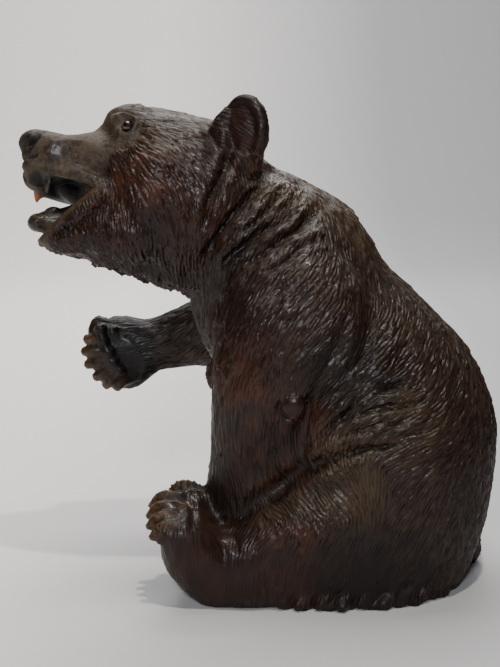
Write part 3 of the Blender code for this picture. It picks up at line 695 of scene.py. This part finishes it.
# Places on the left side, mirrored on the right, and the way the hair runs there.
COAT_LAY = (
    ((-45, -12, 285), (1, 0, -0.1)),
    ((-20, -20, 278), (1, -0.2, -0.3)),
    ((-62, -40, 255), (0.7, 0, -0.7)),
    ((-40, -48, 250), (0.5, 0, -0.9)),
    ((-70, -38, 228), (0.15, 0, -1)),
    ((-50, -46, 215), (0.1, 0, -1)),
    ((-100, -20, 208), (0.5, 0, -0.9)),
    ((-10, -44, 225), (-0.35, 0, -1)),
    ((20, -42, 228), (-0.6, 0, -0.8)),
    ((50, -20, 235), (0.1, -0.2, -1)),
    ((25, -72, 185), (-0.6, 0, -0.8)),
    ((70, -50, 195), (-0.3, 0, -1)),
    ((55, -72, 150), (-0.7, 0, -0.8)),
    ((5, -74, 150), (-0.3, 0, -1)),
    ((0, -66, 100), (0, 0, -1)),
    ((-5, -52, 60), (0, 0, -1)),
    ((-28, 0, 150), (0.1, 0, -1)),
    ((110, -55, 150), (-0.6, 0, -0.8)),
    ((85, -72, 122), (-0.9, 0, -0.45)),
    ((125, -60, 110), (-0.7, 0, -0.7)),
    ((140, -30, 100), (-0.1, -0.3, -1)),
    ((135, -45, 50), (-0.2, -0.2, -1)),
    ((108, -71, 101), (-0.9, 0, -0.42)),
    ((88, -77, 92), (-0.9, 0, -0.4)),
    ((35, -71, 66), (0.7, 0, -0.7)),
    ((54, -77, 72), (0.65, 0, -0.75)),
    ((14, -68, 58), (0.75, 0, -0.6)),
    ((70, -79, 74), (0.1, 0, -1)),
    ((92, -77, 66), (-0.6, 0, -0.8)),
    ((110, -70, 66), (-0.5, 0, -0.85)),
    ((46, -80, 44), (-0.5, 0, -0.8)),
    ((14, -74, 42), (-0.6, 0, -0.6)),
    ((76, -80, 44), (-0.4, 0, -0.9)),
    ((60, -80, 22), (-0.1, 0, -1)),
    ((100, -72, 40), (-0.4, 0, -0.9)),
    ((15, -80, 25), (0, 0, -1)),
    ((-15, -76, 35), (0, 0, -1)),
)
ARM_LAY = (
    ((30, 70, 180), (-0.7, 0, -0.7)),
    ((0, 70, 155), (-1, 0, -0.4)),
    ((-30, 72, 145), (-1, 0, -0.2)),
    ((-70, 70, 130), (-1, 0, -0.1)),
)


def coat_lay(points):
    """The way the hair runs at the points, blended from the coat's known places."""
    known = [(p, w, side) for p, w in COAT_LAY for side in (LEFT, RIGHT)]
    known += [(p, np.array(w) * ARM_PULL, LEFT) for p, w in ARM_LAY]
    blend = np.zeros_like(points)
    for place, way, side in known:
        mirror = np.array((1, -side, 1))
        near = points - np.array(placed(np.array(place) * mirror))
        near = (near**2).sum(axis=1) + (8 * MM) ** 2
        blend += np.array(way) * mirror / near[:, None] ** 2
    return blend / np.linalg.norm(blend, axis=1)[:, None]


def lock_stamp():
    """The top of one lock along +X: a low ridge, fullest near its tip."""
    bm = bmesh.new()
    along = (0, 0.15, 0.35, 0.55, 0.75, 0.88, 0.96, 1)
    width = (0.25, 0.7, 0.95, 1, 0.9, 0.65, 0.35, 0.05)
    height = (-0.6, -0.1, 0.35, 0.7, 1, 0.95, 0.6, -0.6)
    across = (-1, -0.62, -0.25, 0.25, 0.62, 1)
    rows = []
    for t, w, h in zip(along, width, height):
        row = []
        for a in across:
            top = h * LOCK_RISE
            z = top - (top + GROOVE_DEPTH) * abs(a) ** 1.35
            row.append(bm.verts.new(((t - 0.4) * LOCK_LENGTH, a * w * LOCK_WIDTH / 2, z)))
        rows.append(row)
    for here, there in zip(rows, rows[1:]):
        for i in range(len(across) - 1):
            bm.faces.new((here[i], there[i], there[i + 1], here[i + 1]))
    return shown("lock", mesh_of(bm, "lock"))


def fill(group, node, inputs):
    """Sets the node's inputs, by name or by number, to values or other nodes' outputs."""
    for name, value in inputs.items():
        if name[0] == "i" and name[1:].isdigit():
            target = node.inputs[int(name[1:])]
        else:
            target = node.inputs[name.replace("_", " ")]
        if isinstance(value, bpy.types.NodeSocket):
            group.links.new(value, target)
        else:
            target.default_value = value


def add_node(group, kind, settings, inputs):
    made = group.nodes.new(kind)
    for name, value in (settings or {}).items():
        setattr(made, name, value)
    fill(group, made, inputs)
    return made


class Tree:
    """A geometry node tree that is built one node at a time."""

    def __init__(self, name):
        self.group = bpy.data.node_groups.new(name, "GeometryNodeTree")
        self.sockets = {}
        self.socket("Geometry", "NodeSocketGeometry")
        interface = self.group.interface
        interface.new_socket("Geometry", in_out="OUTPUT", socket_type="NodeSocketGeometry")
        self.inputs = self.group.nodes.new("NodeGroupInput")
        self.outputs = self.group.nodes.new("NodeGroupOutput")

    def socket(self, name, kind):
        made = self.group.interface.new_socket(name, in_out="INPUT", socket_type=kind)
        self.sockets[name] = made.identifier

    def node(self, kind, settings=None, **inputs):
        return add_node(self.group, kind, settings, inputs)

    def attribute(self, name, kind="FLOAT"):
        made = self.node("GeometryNodeInputNamedAttribute", {"data_type": kind}, Name=name)
        return made.outputs["Attribute"]

    def chance(self, low, high, seed):
        """A value between low and high, drawn for each point or lock."""
        made = self.node("FunctionNodeRandomValue", {"data_type": "FLOAT"}, i2=low, i3=high)
        made.inputs["Seed"].default_value = seed
        return made.outputs[1]

    def maths(self, operation, a, b):
        return self.node("ShaderNodeMath", {"operation": operation}, i0=a, i1=b).outputs[0]

    def scaled(self, vector, scale):
        settings = {"operation": "SCALE"}
        return self.node("ShaderNodeVectorMath", settings, i0=vector, Scale=scale).outputs[0]

    def stored(self, geometry, name, value, domain):
        settings = {"data_type": "FLOAT", "domain": domain}
        kind = "GeometryNodeStoreNamedAttribute"
        return self.node(kind, settings, Geometry=geometry, Name=name, Value=value).outputs[0]

    def apply(self, obj, **values):
        """Runs the tree on the object, and returns the resulting mesh."""
        live = obj.modifiers.new(self.group.name, "NODES")
        live.node_group = self.group
        for name, value in values.items():
            live[self.sockets[name.replace("_", " ")]] = value
        obj.update_tag()
        return settled(obj)


def coat_tree():
    tree = Tree("carved coat")
    for name in ("Spacing", "Reach", "Twist"):
        tree.socket(name, "NodeSocketFloat")
    tree.socket("Seed", "NodeSocketInt")
    tree.socket("Lock", "NodeSocketObject")
    tree.socket("Finish", "NodeSocketMaterial")
    get = tree.inputs.outputs
    coat = tree.attribute("coat")
    dots = tree.node(
        "GeometryNodeDistributePointsOnFaces",
        {"distribute_method": "POISSON"},
        Mesh=get["Geometry"],
        Distance_Min=get["Spacing"],
        Density_Max=1e6,
        Density_Factor=coat,
        Seed=get["Seed"],
    )
    turn = tree.node(
        "FunctionNodeAxesToRotation",
        {"primary_axis": "Z", "secondary_axis": "X"},
        Primary_Axis=dots.outputs["Normal"],
        Secondary_Axis=tree.attribute("lay", "FLOAT_VECTOR"),
    )
    other_way = tree.maths("MULTIPLY", get["Twist"], -1.0)
    axis = tree.node("ShaderNodeCombineXYZ", Z=tree.chance(other_way, get["Twist"], TWIST_SEED))
    spin = tree.node("FunctionNodeEulerToRotation", i0=axis.outputs[0])
    turned = tree.node(
        "FunctionNodeRotateRotation",
        {"rotation_space": "LOCAL"},
        i0=turn.outputs[0],
        i1=spin.outputs[0],
    )
    size = tree.maths("MULTIPLY", tree.chance(0.75, 1.25, SIZE_SEED), tree.attribute("length"))
    info = tree.node("GeometryNodeObjectInfo", i0=get["Lock"])
    locks = tree.node(
        "GeometryNodeInstanceOnPoints",
        Points=dots.outputs["Points"],
        Instance=info.outputs["Geometry"],
        Rotation=turned.outputs[0],
        Scale=size,
    )
    tinted = tree.stored(locks.outputs[0], "tint", tree.chance(0.0, 1.0, TINT_SEED), "INSTANCE")
    stamps = tree.node("GeometryNodeRealizeInstances", Geometry=tinted)

    place = tree.node("GeometryNodeInputPosition").outputs[0]
    normal = tree.node("GeometryNodeInputNormal").outputs[0]
    up = tree.scaled(normal, get["Reach"])
    start = tree.node("ShaderNodeVectorMath", {"operation": "ADD"}, i0=place, i1=up)
    ray = tree.node(
        "GeometryNodeRaycast",
        {"data_type": "FLOAT"},
        Target_Geometry=stamps.outputs[0],
        Attribute=tree.attribute("tint"),
        Source_Position=start.outputs[0],
        Ray_Direction=tree.scaled(normal, -1.0),
        Ray_Length=tree.maths("ADD", get["Reach"], GROOVE_DEPTH),
    )
    hit = ray.outputs["Is Hit"]
    rise = tree.maths("SUBTRACT", get["Reach"], ray.outputs["Hit Distance"])
    rise = tree.node("GeometryNodeSwitch", {"input_type": "FLOAT"}, i0=hit, i1=-GROOVE_DEPTH, i2=rise)
    rise = tree.maths("MULTIPLY", rise.outputs[0], coat)
    kept = tree.stored(get["Geometry"], "relief", rise, "POINT")
    kept = tree.stored(kept, "tint", ray.outputs["Attribute"], "POINT")
    moved = tree.node("GeometryNodeSetPosition", Geometry=kept, Offset=tree.scaled(normal, rise))
    smooth = tree.node("GeometryNodeSetShadeSmooth", Geometry=moved.outputs[0])
    whole = tree.node("GeometryNodeRealizeInstances", Geometry=smooth.outputs[0])
    done = tree.node("GeometryNodeSetMaterial", Geometry=whole.outputs[0], Material=get["Finish"])
    tree.group.links.new(done.outputs[0], tree.outputs.inputs[0])
    return tree


def stored(mesh, name, values):
    layer = mesh.attributes.new(name, "FLOAT", "POINT")
    layer.data.foreach_set("value", np.asarray(values, np.float32))


# Where the face is bare: in front of this X at each height of the head.
FACE_EDGE_HEIGHTS = (195, 208, 216, 225, 230.5, 234, 238, 247, 254, 258, 262, 270, 281, 300)
FACE_EDGE_FRONTS = (-129, -127, -119, -107, -99, -94, -89, -88, -86, -77, -69, -67, -73, -72)
RUFF_RISE = 1.3 * MM

# Bare places of the body: the palm, the toes, the paw on the ground and the elbow.
BARE_EDGE = 3
BARE_PLACES = (
    ((-98, 50, 127), 22),
    ((-88, 46, 124), 18),
    ((-50, -57, 55), 14),
    ((-17, 57, 55), 14),
    ((-38, -27, 6), 15),
    ((24.5, -76, 122.5), 5),
)

# Places where the hair is cut lower or shorter: centre, radius, depth and length there.
THIN_PLACES = (
    ((-28, -60, 56), 12, 0.5, 0.7),
    ((0, -55, 90), 36, 0.55, 0.85),
    ((-40, -60, 26), 32, 0.28, 0.75),
    ((0, -74, 20), 24, 0.35, 0.85),
    ((50, -80, 16), 24, 0.4, 0.85),
    ((90, -76, 20), 22, 0.5, 0.85),
    ((-58, 52, 140), 18, 0.8, 0.8),
)
# Places where the locks are bolder.
BOLD_PLACES = (
    ((-50, -38, 240), 26),
    ((-50, 38, 240), 26),
    ((26, -70, 172), 26),
    ((46, -77, 64), 20),
    ((20, -70, 56), 12),
    ((24, -40, 228), 16),
    ((56, -78, 62), 26),
    ((-6, -66, 142), 22),
)


def smooth_step(values):
    values = np.clip(values, 0, 1)
    return values * values * (3 - 2 * values)


skin = corners(figure)
to_head = HEAD.inverted()
in_head = skin @ np.array(to_head.to_3x3()).T + np.array(to_head.translation)
in_body = skin / MM - np.array(CHEST_POINT)
edge = np.interp(in_head[:, 2], FACE_EDGE_HEIGHTS, FACE_EDGE_FRONTS)
behind_edge = in_head[:, 0] - edge
on_head = nearness(skin, (-80, 0, 240), 72, 6)
aside = np.clip((np.abs(in_head[:, 1]) - 12) / 8, 0, 1)
aside = np.where(in_head[:, 2] < 232, 1, aside)
soft_edge = np.interp(in_head[:, 2], (264, 278), (2.2, 16))
bare = on_head * (1 - smooth_step(behind_edge / soft_edge + 0.5))
bare = np.maximum(bare, places_share(skin, BARE_PLACES, BARE_EDGE))
bare = np.maximum(bare, near_shapes(skin, claw_clouds + lip_clouds, 0.4))
low = np.clip(skin[:, 2] / (2 * MM), 0, 1)
coat = (1 - bare) * low
length = np.ones(len(skin))
for centre, radius, depth, size in THIN_PLACES:
    share = nearness(skin, centre, radius, 12)
    coat *= 1 - share * (1 - depth)
    length *= 1 - share * (1 - size)
ears = np.zeros(len(skin))
for side in (LEFT, RIGHT):
    ear = np.linalg.norm(in_head - np.array(ear_middle(side)), axis=1)
    ear = np.clip((32 - ear) / 8, 0, 1) * np.clip((np.abs(in_head[:, 1]) - 27) / 5, 0, 1)
    ears = np.maximum(ears, ear * np.clip((in_head[:, 2] - 246) / 6, 0, 1))
coat *= 1 - 0.6 * ears
length *= 1 - 0.5 * ears
bold = places_share(skin, BOLD_PLACES, 10)
coat *= 1 + 0.2 * bold
length *= 1 + 0.15 * bold
short = on_head * smooth_step((246 - in_head[:, 2]) / 8)
coat *= 1 - short * (0.7 - 0.7 * smooth_step(behind_edge / 10))

# The ruff stands a little proud of the bare face, and its hair starts there.
ruff = np.exp(-((np.clip(behind_edge - 3, 0, None) / 9) ** 2))
ruff *= smooth_step((behind_edge - 0.2) / 2.5) * on_head * aside
ruff *= smooth_step((in_head[:, 2] - 238) / 8) * smooth_step((284 - in_head[:, 2]) / 8)
skin = skin + normals(figure) * (ruff * RUFF_RISE)[:, None]
figure.vertices.foreach_set("co", skin.ravel())
figure.update()

stored(figure, "coat", coat)
stored(figure, "length", length)
lay = coat_lay(skin)
across = np.cross(lay, normals(figure))
across /= np.maximum(np.linalg.norm(across, axis=1), 1e-6)[:, None]
for name, rows in (("lay", lay), ("across", across)):
    layer = figure.attributes.new(name, "FLOAT_VECTOR", "POINT")
    layer.data.foreach_set("vector", rows.astype(np.float32).ravel())

# The stain and the polish
# The figure is stained almost black, rubbed back to brown on the ridges and to red in
# patches, then waxed. The claws are left the colour of horn, and one tooth is orange.
# Painted light is mixed in too: shade under the jaw, behind the elbow, in the mouth and nostrils, a
# highlight on the lip rims, and a sheen with the dust on upward faces.
WARM_PLACES = (
    ((-62, -38, 247), 17),
    ((-85, -30, 222), 20),
    ((-35, -44, 213), 15),
    ((-12, -60, 140), 24),
    ((12, -66, 96), 24),
    ((32, -66, 112), 12),
    ((-30, -74, 30), 24),
    ((20, -78, 28), 24),
    ((0, -34, 272), 9),
    ((-62, 38, 247), 18),
    ((0, 60, 120), 26),
    ((90, 60, 60), 30),
)
OLIVE_PLACES = (
    ((48, -72, 92), 9),
    ((30, -64, 80), 9),
    ((10, -58, 66), 9),
    ((50, -78, 76), 20),
    ((84, -76, 108), 20),
    ((-50, -10, 283), 30),
    ((20, -10, 245), 26),
    ((60, 0, 210), 30),
)
# Black places of the head: the inside of the mouth, the gum under the near lip and the nostrils,
# blackened as painted shade, and the nose pad, half as dark. Middle, radii, how far the black spreads,
# and its strength.
BLACK_AND_SHADE_PLACES = (
    ((-104, 3, 237), (21, 17, 11), 1.6, 1),
    ((-124, -9, 243), (9, 8, 7.5), 1.6, 1),
    ((-128, 0, 262), (12, 13, 11), 1.5, 0.45),
    ((-130.5, -9, 266.5), (5.5, 4.5, 5), 1.5, 1),
    ((-130.5, 9, 266.5), (5.5, 4.5, 5), 1.5, 1),
)
PALM = ((-84, 44, 128), 20)
RAISED_PAW_LOW = 95 * MM
JAW_TIP_FRONT = -117

# Places under the jaw and the head, on the flank behind the elbow and low on the thigh, darkened as
# painted shade, and glossy ones.
PAINTED_SHADE_PLACES = (
    ((-84, -24, 212), 20),
    ((-52, -40, 208), 20),
    ((-22, -40, 195), 14),
    ((50, -74, 138), 16),
    ((70, -76, 142), 14),
    ((-12, -60, 170), 14),
    ((60, -80, 26), 20),
)
GLOSSY_PLACES = (
    ((-40, -57, 55), 16),
    ((-8, -58, 50), 10),
    ((-10, -76, 30), 18),
    ((24.5, -76, 122.5), 6),
)


black_and_shade = np.zeros(len(skin))
for centre, radii, spread, strength in BLACK_AND_SHADE_PLACES:
    reach = (in_head - np.array(centre)) / np.array(radii)
    black_and_shade = np.maximum(black_and_shade, strength * np.clip(spread - (reach**2).sum(axis=1), 0, 1))
# Painted shade: the tongue turns blacker further into the mouth than at the jaw's tip.
tongue_shade = np.interp(in_head[:, 0], (JAW_TIP_FRONT - 5, JAW_TIP_FRONT), (0.5, 0.92))
black_and_shade = np.maximum(black_and_shade, tongue_shade * near_shapes(skin, mouth_clouds, 0.3))
black_and_shade = np.maximum(black_and_shade, 0.8 * nearness(skin, *PALM, 8))
black_and_shade *= 1 - near_shapes(skin, near_tooth_clouds + far_tooth_clouds + lip_clouds, 0.5)
stored(figure, "black_and_shade", black_and_shade)
horn_share = near_shapes(skin, claw_clouds, 0.5)
crest = np.clip((np.interp(in_body[:, 2], (105, 140), (43, 42.5)) - in_body[:, 1] + 1) / 4, 0, 1)
horn_share *= np.where(skin[:, 2] > RAISED_PAW_LOW, 0.25 + 0.75 * crest, 0.5)
stored(figure, "horn", horn_share)
stored(figure, "face", bare * on_head)
stored(figure, "amber", near_shapes(skin, far_tooth_clouds, 0.6))
stored(figure, "ivory", near_shapes(skin, near_tooth_clouds, 0.6))
# The lip rims, which are lightened below as a painted highlight.
stored(figure, "rim", near_shapes(skin, lip_clouds, 0.4))
ear_red = ears * smooth_step((in_head[:, 0] + 8) / 8)
ear_gold = ears * smooth_step((262 - in_head[:, 2]) / 8) * smooth_step((-4 - in_head[:, 0]) / 6)
stored(figure, "warm", np.maximum(places_share(skin, WARM_PLACES, 14), 0.7 * ear_red))
stored(figure, "olive", np.maximum(places_share(skin, OLIVE_PLACES, 12), ear_gold))
# Painted shade under the jaw, behind the elbow and low on the thigh.
stored(figure, "dark", places_share(skin, PAINTED_SHADE_PLACES, 14))
polish = places_share(skin, GLOSSY_PLACES, 5)
polish = np.maximum(polish, near_shapes(skin, lip_clouds + mouth_clouds, 0.5))
stored(figure, "polish", polish)

# The wood's colours.
GROOVE = (0.007, 0.003, 0.0021, 1)
STAIN = (0.027, 0.0105, 0.0066, 1)
WORN_AND_HIGHLIGHT = (0.072, 0.042, 0.025, 1)
RED = (0.075, 0.018, 0.008, 1)
GOLD = (0.095, 0.060, 0.027, 1)
DUST_AND_SHEEN = (0.078, 0.060, 0.043, 1)
HORN_DARK = (0.055, 0.027, 0.012, 1)
HORN_LIGHT = (0.26, 0.135, 0.06, 1)
BLACK_AND_SHADE_COLOUR = (0.004, 0.003, 0.003, 1)
AMBER = (0.42, 0.11, 0.03, 1)
IVORY = (0.05, 0.042, 0.036, 1)
FACE_DARK = (0.022, 0.013, 0.009, 1)
FACE_LIGHT = (0.086, 0.060, 0.038, 1)

# The roughness of the handled places, and the fine strokes of the smallest gouge.
POLISHED = (0.33, 0.33, 0.33, 1)
STROKE_SCALE = 135
STROKES_IN_A_CELL = 3.6
STROKE_DEPTH = 0.0011


class Finish:
    """A material that is built one node at a time."""

    def __init__(self, name):
        self.material = bpy.data.materials.new(name)
        self.material.use_nodes = True
        self.group = self.material.node_tree
        self.shader = self.group.nodes["Principled BSDF"]
        self.place = self.node("ShaderNodeTexCoord").outputs["Object"]

    def node(self, kind, settings=None, **inputs):
        return add_node(self.group, kind, settings, inputs)

    def attribute(self, name, output="Fac"):
        return self.node("ShaderNodeAttribute", {"attribute_name": name}).outputs[output]

    def noise(self, scale, detail, roughness=0.5):
        values = {"Scale": scale, "Detail": detail, "Roughness": roughness}
        return self.node("ShaderNodeTexNoise", Vector=self.place, **values).outputs[0]

    def times(self, a, b):
        return self.node("ShaderNodeMath", {"operation": "MULTIPLY"}, i0=a, i1=b).outputs[0]

    def plus(self, a, b):
        return self.node("ShaderNodeMath", {"operation": "ADD"}, i0=a, i1=b).outputs[0]

    def stretch(self, value, low, high, to_low=0.0, to_high=1.0):
        limits = {"i1": low, "i2": high, "i3": to_low, "i4": to_high}
        return self.node("ShaderNodeMapRange", {"clamp": True}, i0=value, **limits).outputs[0]

    def blend(self, share, a, b):
        return self.node("ShaderNodeMix", {"data_type": "RGBA"}, i0=share, i6=a, i7=b).outputs[2]

    def shade(self, **inputs):
        fill(self.group, self.shader, inputs)

    def vectors(self, operation, a, b):
        return self.node("ShaderNodeVectorMath", {"operation": operation}, i0=a, i1=b)


def stained_wood():
    wood = Finish("varnished_wood")
    relief = wood.attribute("relief")
    tint = wood.attribute("tint")
    coat = wood.attribute("coat")

    wobble = wood.node("ShaderNodeTexNoise", Vector=wood.place, Scale=110.0).outputs[1]
    wobble = wood.node("ShaderNodeVectorMath", {"operation": "SCALE"}, i0=wobble, Scale=0.0022)
    drifted = wood.vectors("ADD", wood.place, wobble.outputs[0]).outputs[0]
    strands = wood.node(
        "ShaderNodeTexGabor",
        {"gabor_type": "3D"},
        Vector=drifted,
        Scale=STROKE_SCALE,
        Frequency=STROKES_IN_A_CELL,
        Anisotropy=1.0,
        i5=wood.attribute("across", "Vector"),
    ).outputs[0]

    broad = wood.noise(26, 3, 0.55)
    patches = wood.noise(75, 3, 0.6)
    specks = wood.noise(420, 2, 0.6)

    ridge = wood.stretch(relief, -0.0004, 0.0007)
    streak = wood.stretch(strands, 0.25, 0.75)
    ridge = wood.times(ridge, wood.stretch(streak, 0.0, 1.0, 0.4, 1.15))
    worn = wood.times(wood.stretch(patches, 0.35, 0.65, 0.25, 1.0), ridge)
    colour = wood.blend(ridge, GROOVE, STAIN)
    worn = wood.times(worn, wood.stretch(tint, 0.2, 1.0, 0.1, 0.75))
    colour = wood.blend(worn, colour, WORN_AND_HIGHLIGHT)
    warm = wood.times(wood.attribute("warm"), wood.stretch(patches, 0.36, 0.68, 0.1, 0.8))
    warm = wood.times(warm, wood.stretch(ridge, 0.1, 0.8, 0.2, 0.9))
    colour = wood.blend(warm, colour, RED)
    gold = wood.times(wood.attribute("olive"), wood.stretch(broad, 0.38, 0.62, 0.3, 1.0))
    gold = wood.times(gold, wood.times(ridge, 0.55))
    colour = wood.blend(gold, colour, GOLD)

    # Upward faces are blended towards a pale grey-brown: dust, and a painted sheen of the lamps
    # overhead.
    facing = wood.node("ShaderNodeNewGeometry").outputs["Normal"]
    top_dust_and_sheen = wood.node("ShaderNodeSeparateXYZ", Vector=facing).outputs[2]
    top_dust_and_sheen = wood.times(wood.stretch(top_dust_and_sheen, 0.1, 0.95), wood.stretch(broad, 0.3, 0.6, 0.4, 0.9))
    dusty_sheen = wood.times(top_dust_and_sheen, wood.stretch(ridge, 0.1, 0.7, 0.1, 0.6))
    colour = wood.blend(dusty_sheen, colour, DUST_AND_SHEEN)
    # Painted shade: the shaded places are blended towards the groove colour.
    colour = wood.blend(wood.times(wood.attribute("dark"), 0.6), colour, GROOVE)

    smooth = wood.attribute("face")
    mottle = wood.plus(wood.times(patches, 0.6), wood.times(specks, 0.4))
    face = wood.blend(wood.stretch(mottle, 0.38, 0.6), FACE_DARK, FACE_LIGHT)
    colour = wood.blend(smooth, colour, face)
    horn = wood.blend(wood.stretch(specks, 0.35, 0.65), HORN_DARK, HORN_LIGHT)
    colour = wood.blend(wood.attribute("horn"), colour, horn)
    # Painted highlight: the lip rims are lightened towards the worn colour.
    colour = wood.blend(wood.times(wood.attribute("rim"), 0.7), colour, WORN_AND_HIGHLIGHT)
    # Painted shade blackens the mouth, the gum and the nostrils; the palm and the nose pad are
    # darkened too.
    colour = wood.blend(wood.attribute("black_and_shade"), colour, BLACK_AND_SHADE_COLOUR)
    colour = wood.blend(wood.attribute("ivory"), colour, IVORY)
    colour = wood.blend(wood.attribute("amber"), colour, AMBER)
    wood.shade(Base_Color=colour)

    dull = wood.stretch(patches, 0.3, 0.7, 0.25, 0.4)
    dull = wood.plus(dull, wood.times(smooth, 0.12))
    dull = wood.plus(dull, wood.times(top_dust_and_sheen, 0.12))
    dull = wood.plus(dull, wood.stretch(ridge, 0.0, 0.6, 0.2, 0.0))
    dull = wood.blend(wood.attribute("polish"), dull, POLISHED)
    wood.shade(Roughness=dull)

    height = wood.times(strands, wood.stretch(coat, 0.0, 0.6, 0.06, 1.0))
    height = wood.plus(height, wood.times(specks, wood.stretch(smooth, 0.0, 1.0, 0.35, 0.8)))
    bump = wood.node("ShaderNodeBump", Height=height, Strength=0.75, Distance=STROKE_DEPTH)
    wood.shade(Normal=bump.outputs[0])
    wood.shade(Specular_IOR_Level=0.26, Coat_Weight=0.08, Coat_Roughness=0.16)
    return wood.material


wood = stained_wood()
bear = shown("bear", figure)
stamp = lock_stamp()
tree = coat_tree()
mesh = tree.apply(
    bear,
    Spacing=LOCK_SPACING,
    Reach=REACH,
    Twist=LOCK_TWIST,
    Seed=LOCK_SEED,
    Lock=stamp,
    Finish=wood,
)
bpy.data.objects.remove(stamp)
bear = shown("bear", mesh)
thin = bear.modifiers.new("thin", "DECIMATE")
thin.ratio = BEAR_TRIANGLES / sum(len(face.vertices) - 2 for face in mesh.polygons)
thin.use_collapse_triangulate = True
mesh = settled(bear)
skin = corners(mesh)
# No cut reaches below the flat underside.
skin[:, 2] = np.maximum(skin[:, 2], 0)
mesh.vertices.foreach_set("co", skin.ravel())
mesh.validate()
bear = shown("bear", mesh)
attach(bear, "root")
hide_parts("carved_bear")

# The glass eyes
# Two balls of dark brown glass are pushed into the sockets, and keep their own solids.
PUPIL = (0.004, 0.003, 0.003, 1)
IRIS = (0.035, 0.014, 0.006, 1)
GLASS_EDGE = (0.008, 0.005, 0.004, 1)


def brown_glass(side):
    """Black in the middle of the eye's front, brown round it, and black at the rim."""
    centre, out, _, _ = eye_seat(side)
    glass = Finish("dark_glass_left" if side == LEFT else "dark_glass_right")
    front = centre + out * 3.4 * MM
    from_front = glass.vectors("DISTANCE", glass.place, front).outputs["Value"]
    iris = glass.stretch(from_front, 1.0 * MM, 1.7 * MM)
    flecks = glass.times(iris, glass.stretch(glass.noise(1800, 2), 0.3, 0.7, 0.5, 1.0))
    colour = glass.blend(flecks, PUPIL, IRIS)
    colour = glass.blend(glass.stretch(from_front, 2.4 * MM, 3.2 * MM), colour, GLASS_EDGE)
    glass.shade(Base_Color=colour)
    haze = glass.stretch(glass.noise(900, 2), 0.3, 0.7, 0.04, 0.1)
    glass.shade(Roughness=haze)
    glass.shade(Coat_Weight=1.0, Coat_Roughness=0.03)
    return glass.material


for side, node in ((LEFT, "glass_eye_left"), (RIGHT, "glass_eye_right")):
    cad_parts[node].material_slots[0].material = brown_glass(side)

# The paper, the lights and the camera
# The figure stands on a wide sheet of pale paper that is swept up well behind it. A
# small lamp stands high in front, a soft one hangs over it, and a window lights its side.
SWEEP_WIDTH = 8.0
SWEEP_START = 1.5
SWEEP_RADIUS = 0.8
SWEEP_HEIGHT = 2.4
SWEEP_STEPS = 24
PAPER = (0.82, 0.79, 0.765, 1)
PAPER_CLOUD = (0.86, 0.835, 0.815, 1)
PAPER_PAINTED_SHADE = (0.42, 0.42, 0.43, 1)
CAMERA_FOCUS = 1250 / 667
CAMERA_PLACE = (-0.0078, -0.763, 0.285)
CAMERA_TILT = math.radians(80)


def paper_sweep():
    profile = [(-SWEEP_WIDTH, 0.0)]
    for k in range(SWEEP_STEPS + 1):
        angle = math.pi / 2 * k / SWEEP_STEPS
        rise = SWEEP_RADIUS * (1 - math.cos(angle))
        profile.append((SWEEP_START + SWEEP_RADIUS * math.sin(angle), rise))
    profile.append((SWEEP_START + SWEEP_RADIUS, SWEEP_HEIGHT))
    bm = bmesh.new()
    rows = [[bm.verts.new((x, y, z)) for x in (-SWEEP_WIDTH, SWEEP_WIDTH)] for y, z in profile]
    for here, there in zip(rows, rows[1:]):
        bm.faces.new((here[0], here[1], there[1], there[0]))
    mesh = mesh_of(bm, "paper")
    mesh.shade_smooth()
    return shown("paper", mesh)


paper = paper_sweep()
pale = Finish("pale_paper")
tone = pale.blend(pale.noise(1.2, 2), PAPER, PAPER_CLOUD)
# Painted shade: the paper darkens towards the right, where less light falls.
rightward = pale.node("ShaderNodeSeparateXYZ", Vector=pale.place).outputs[0]
tone = pale.blend(pale.stretch(rightward, -0.2, 0.3), tone, PAPER_PAINTED_SHADE)
pale.shade(Base_Color=tone, Roughness=0.9, Specular_IOR_Level=0.1)
paper.data.materials.append(pale.material)

world = bpy.data.worlds.new("room")
world.use_nodes = True
room = world.node_tree
dim = room.nodes["Background"]
dim.inputs["Color"].default_value = (1.0, 0.95, 0.9, 1)
dim.inputs["Strength"].default_value = 0.05
far_wall = room.nodes.new("ShaderNodeBackground")
far_wall.inputs["Color"].default_value = (0.42, 0.42, 0.42, 1)
seen = room.nodes.new("ShaderNodeLightPath")
either = room.nodes.new("ShaderNodeMixShader")
room.links.new(seen.outputs["Is Camera Ray"], either.inputs[0])
room.links.new(dim.outputs[0], either.inputs[1])
room.links.new(far_wall.outputs[0], either.inputs[2])
room.links.new(either.outputs[0], room.nodes["World Output"].inputs[0])
bpy.context.scene.world = world


def lamp(name, place, aim, size, watts, colour=(1, 1, 1)):
    data = bpy.data.lights.new(name, "AREA")
    data.size = size
    data.energy = watts
    data.color = colour
    made = shown(name, data)
    made.location = place
    made.rotation_euler = (Vector(aim) - Vector(place)).to_track_quat("-Z", "Y").to_euler()


lamp("spot", (0.17, -0.46, 1.6), (-0.02, 0, 0.15), 0.05, 10.5, (1.0, 0.96, 0.9))
lamp("ceiling", (-0.1, 0.5, 1.45), (-0.05, 0.3, 0), 1.1, 18)
lamp("window", (-0.2, -1.5, 0.9), (0, 0, 0.15), 0.26, 13, (0.9, 0.95, 1.0))
lamp("wall lamp", (-0.1, 1.2, 1.7), (-0.1, 2.3, 0.35), 1.0, 27)
lamp("far side", (0.35, 1.35, 0.95), (0, 0, 0.15), 0.8, 5)

camera = bpy.data.cameras.new("camera")
camera.sensor_width = 36
camera.lens = CAMERA_FOCUS * camera.sensor_width
viewer = shown("camera", camera)
viewer.location = CAMERA_PLACE
viewer.rotation_euler = (CAMERA_TILT, 0, 0)
bpy.context.scene.camera = viewer
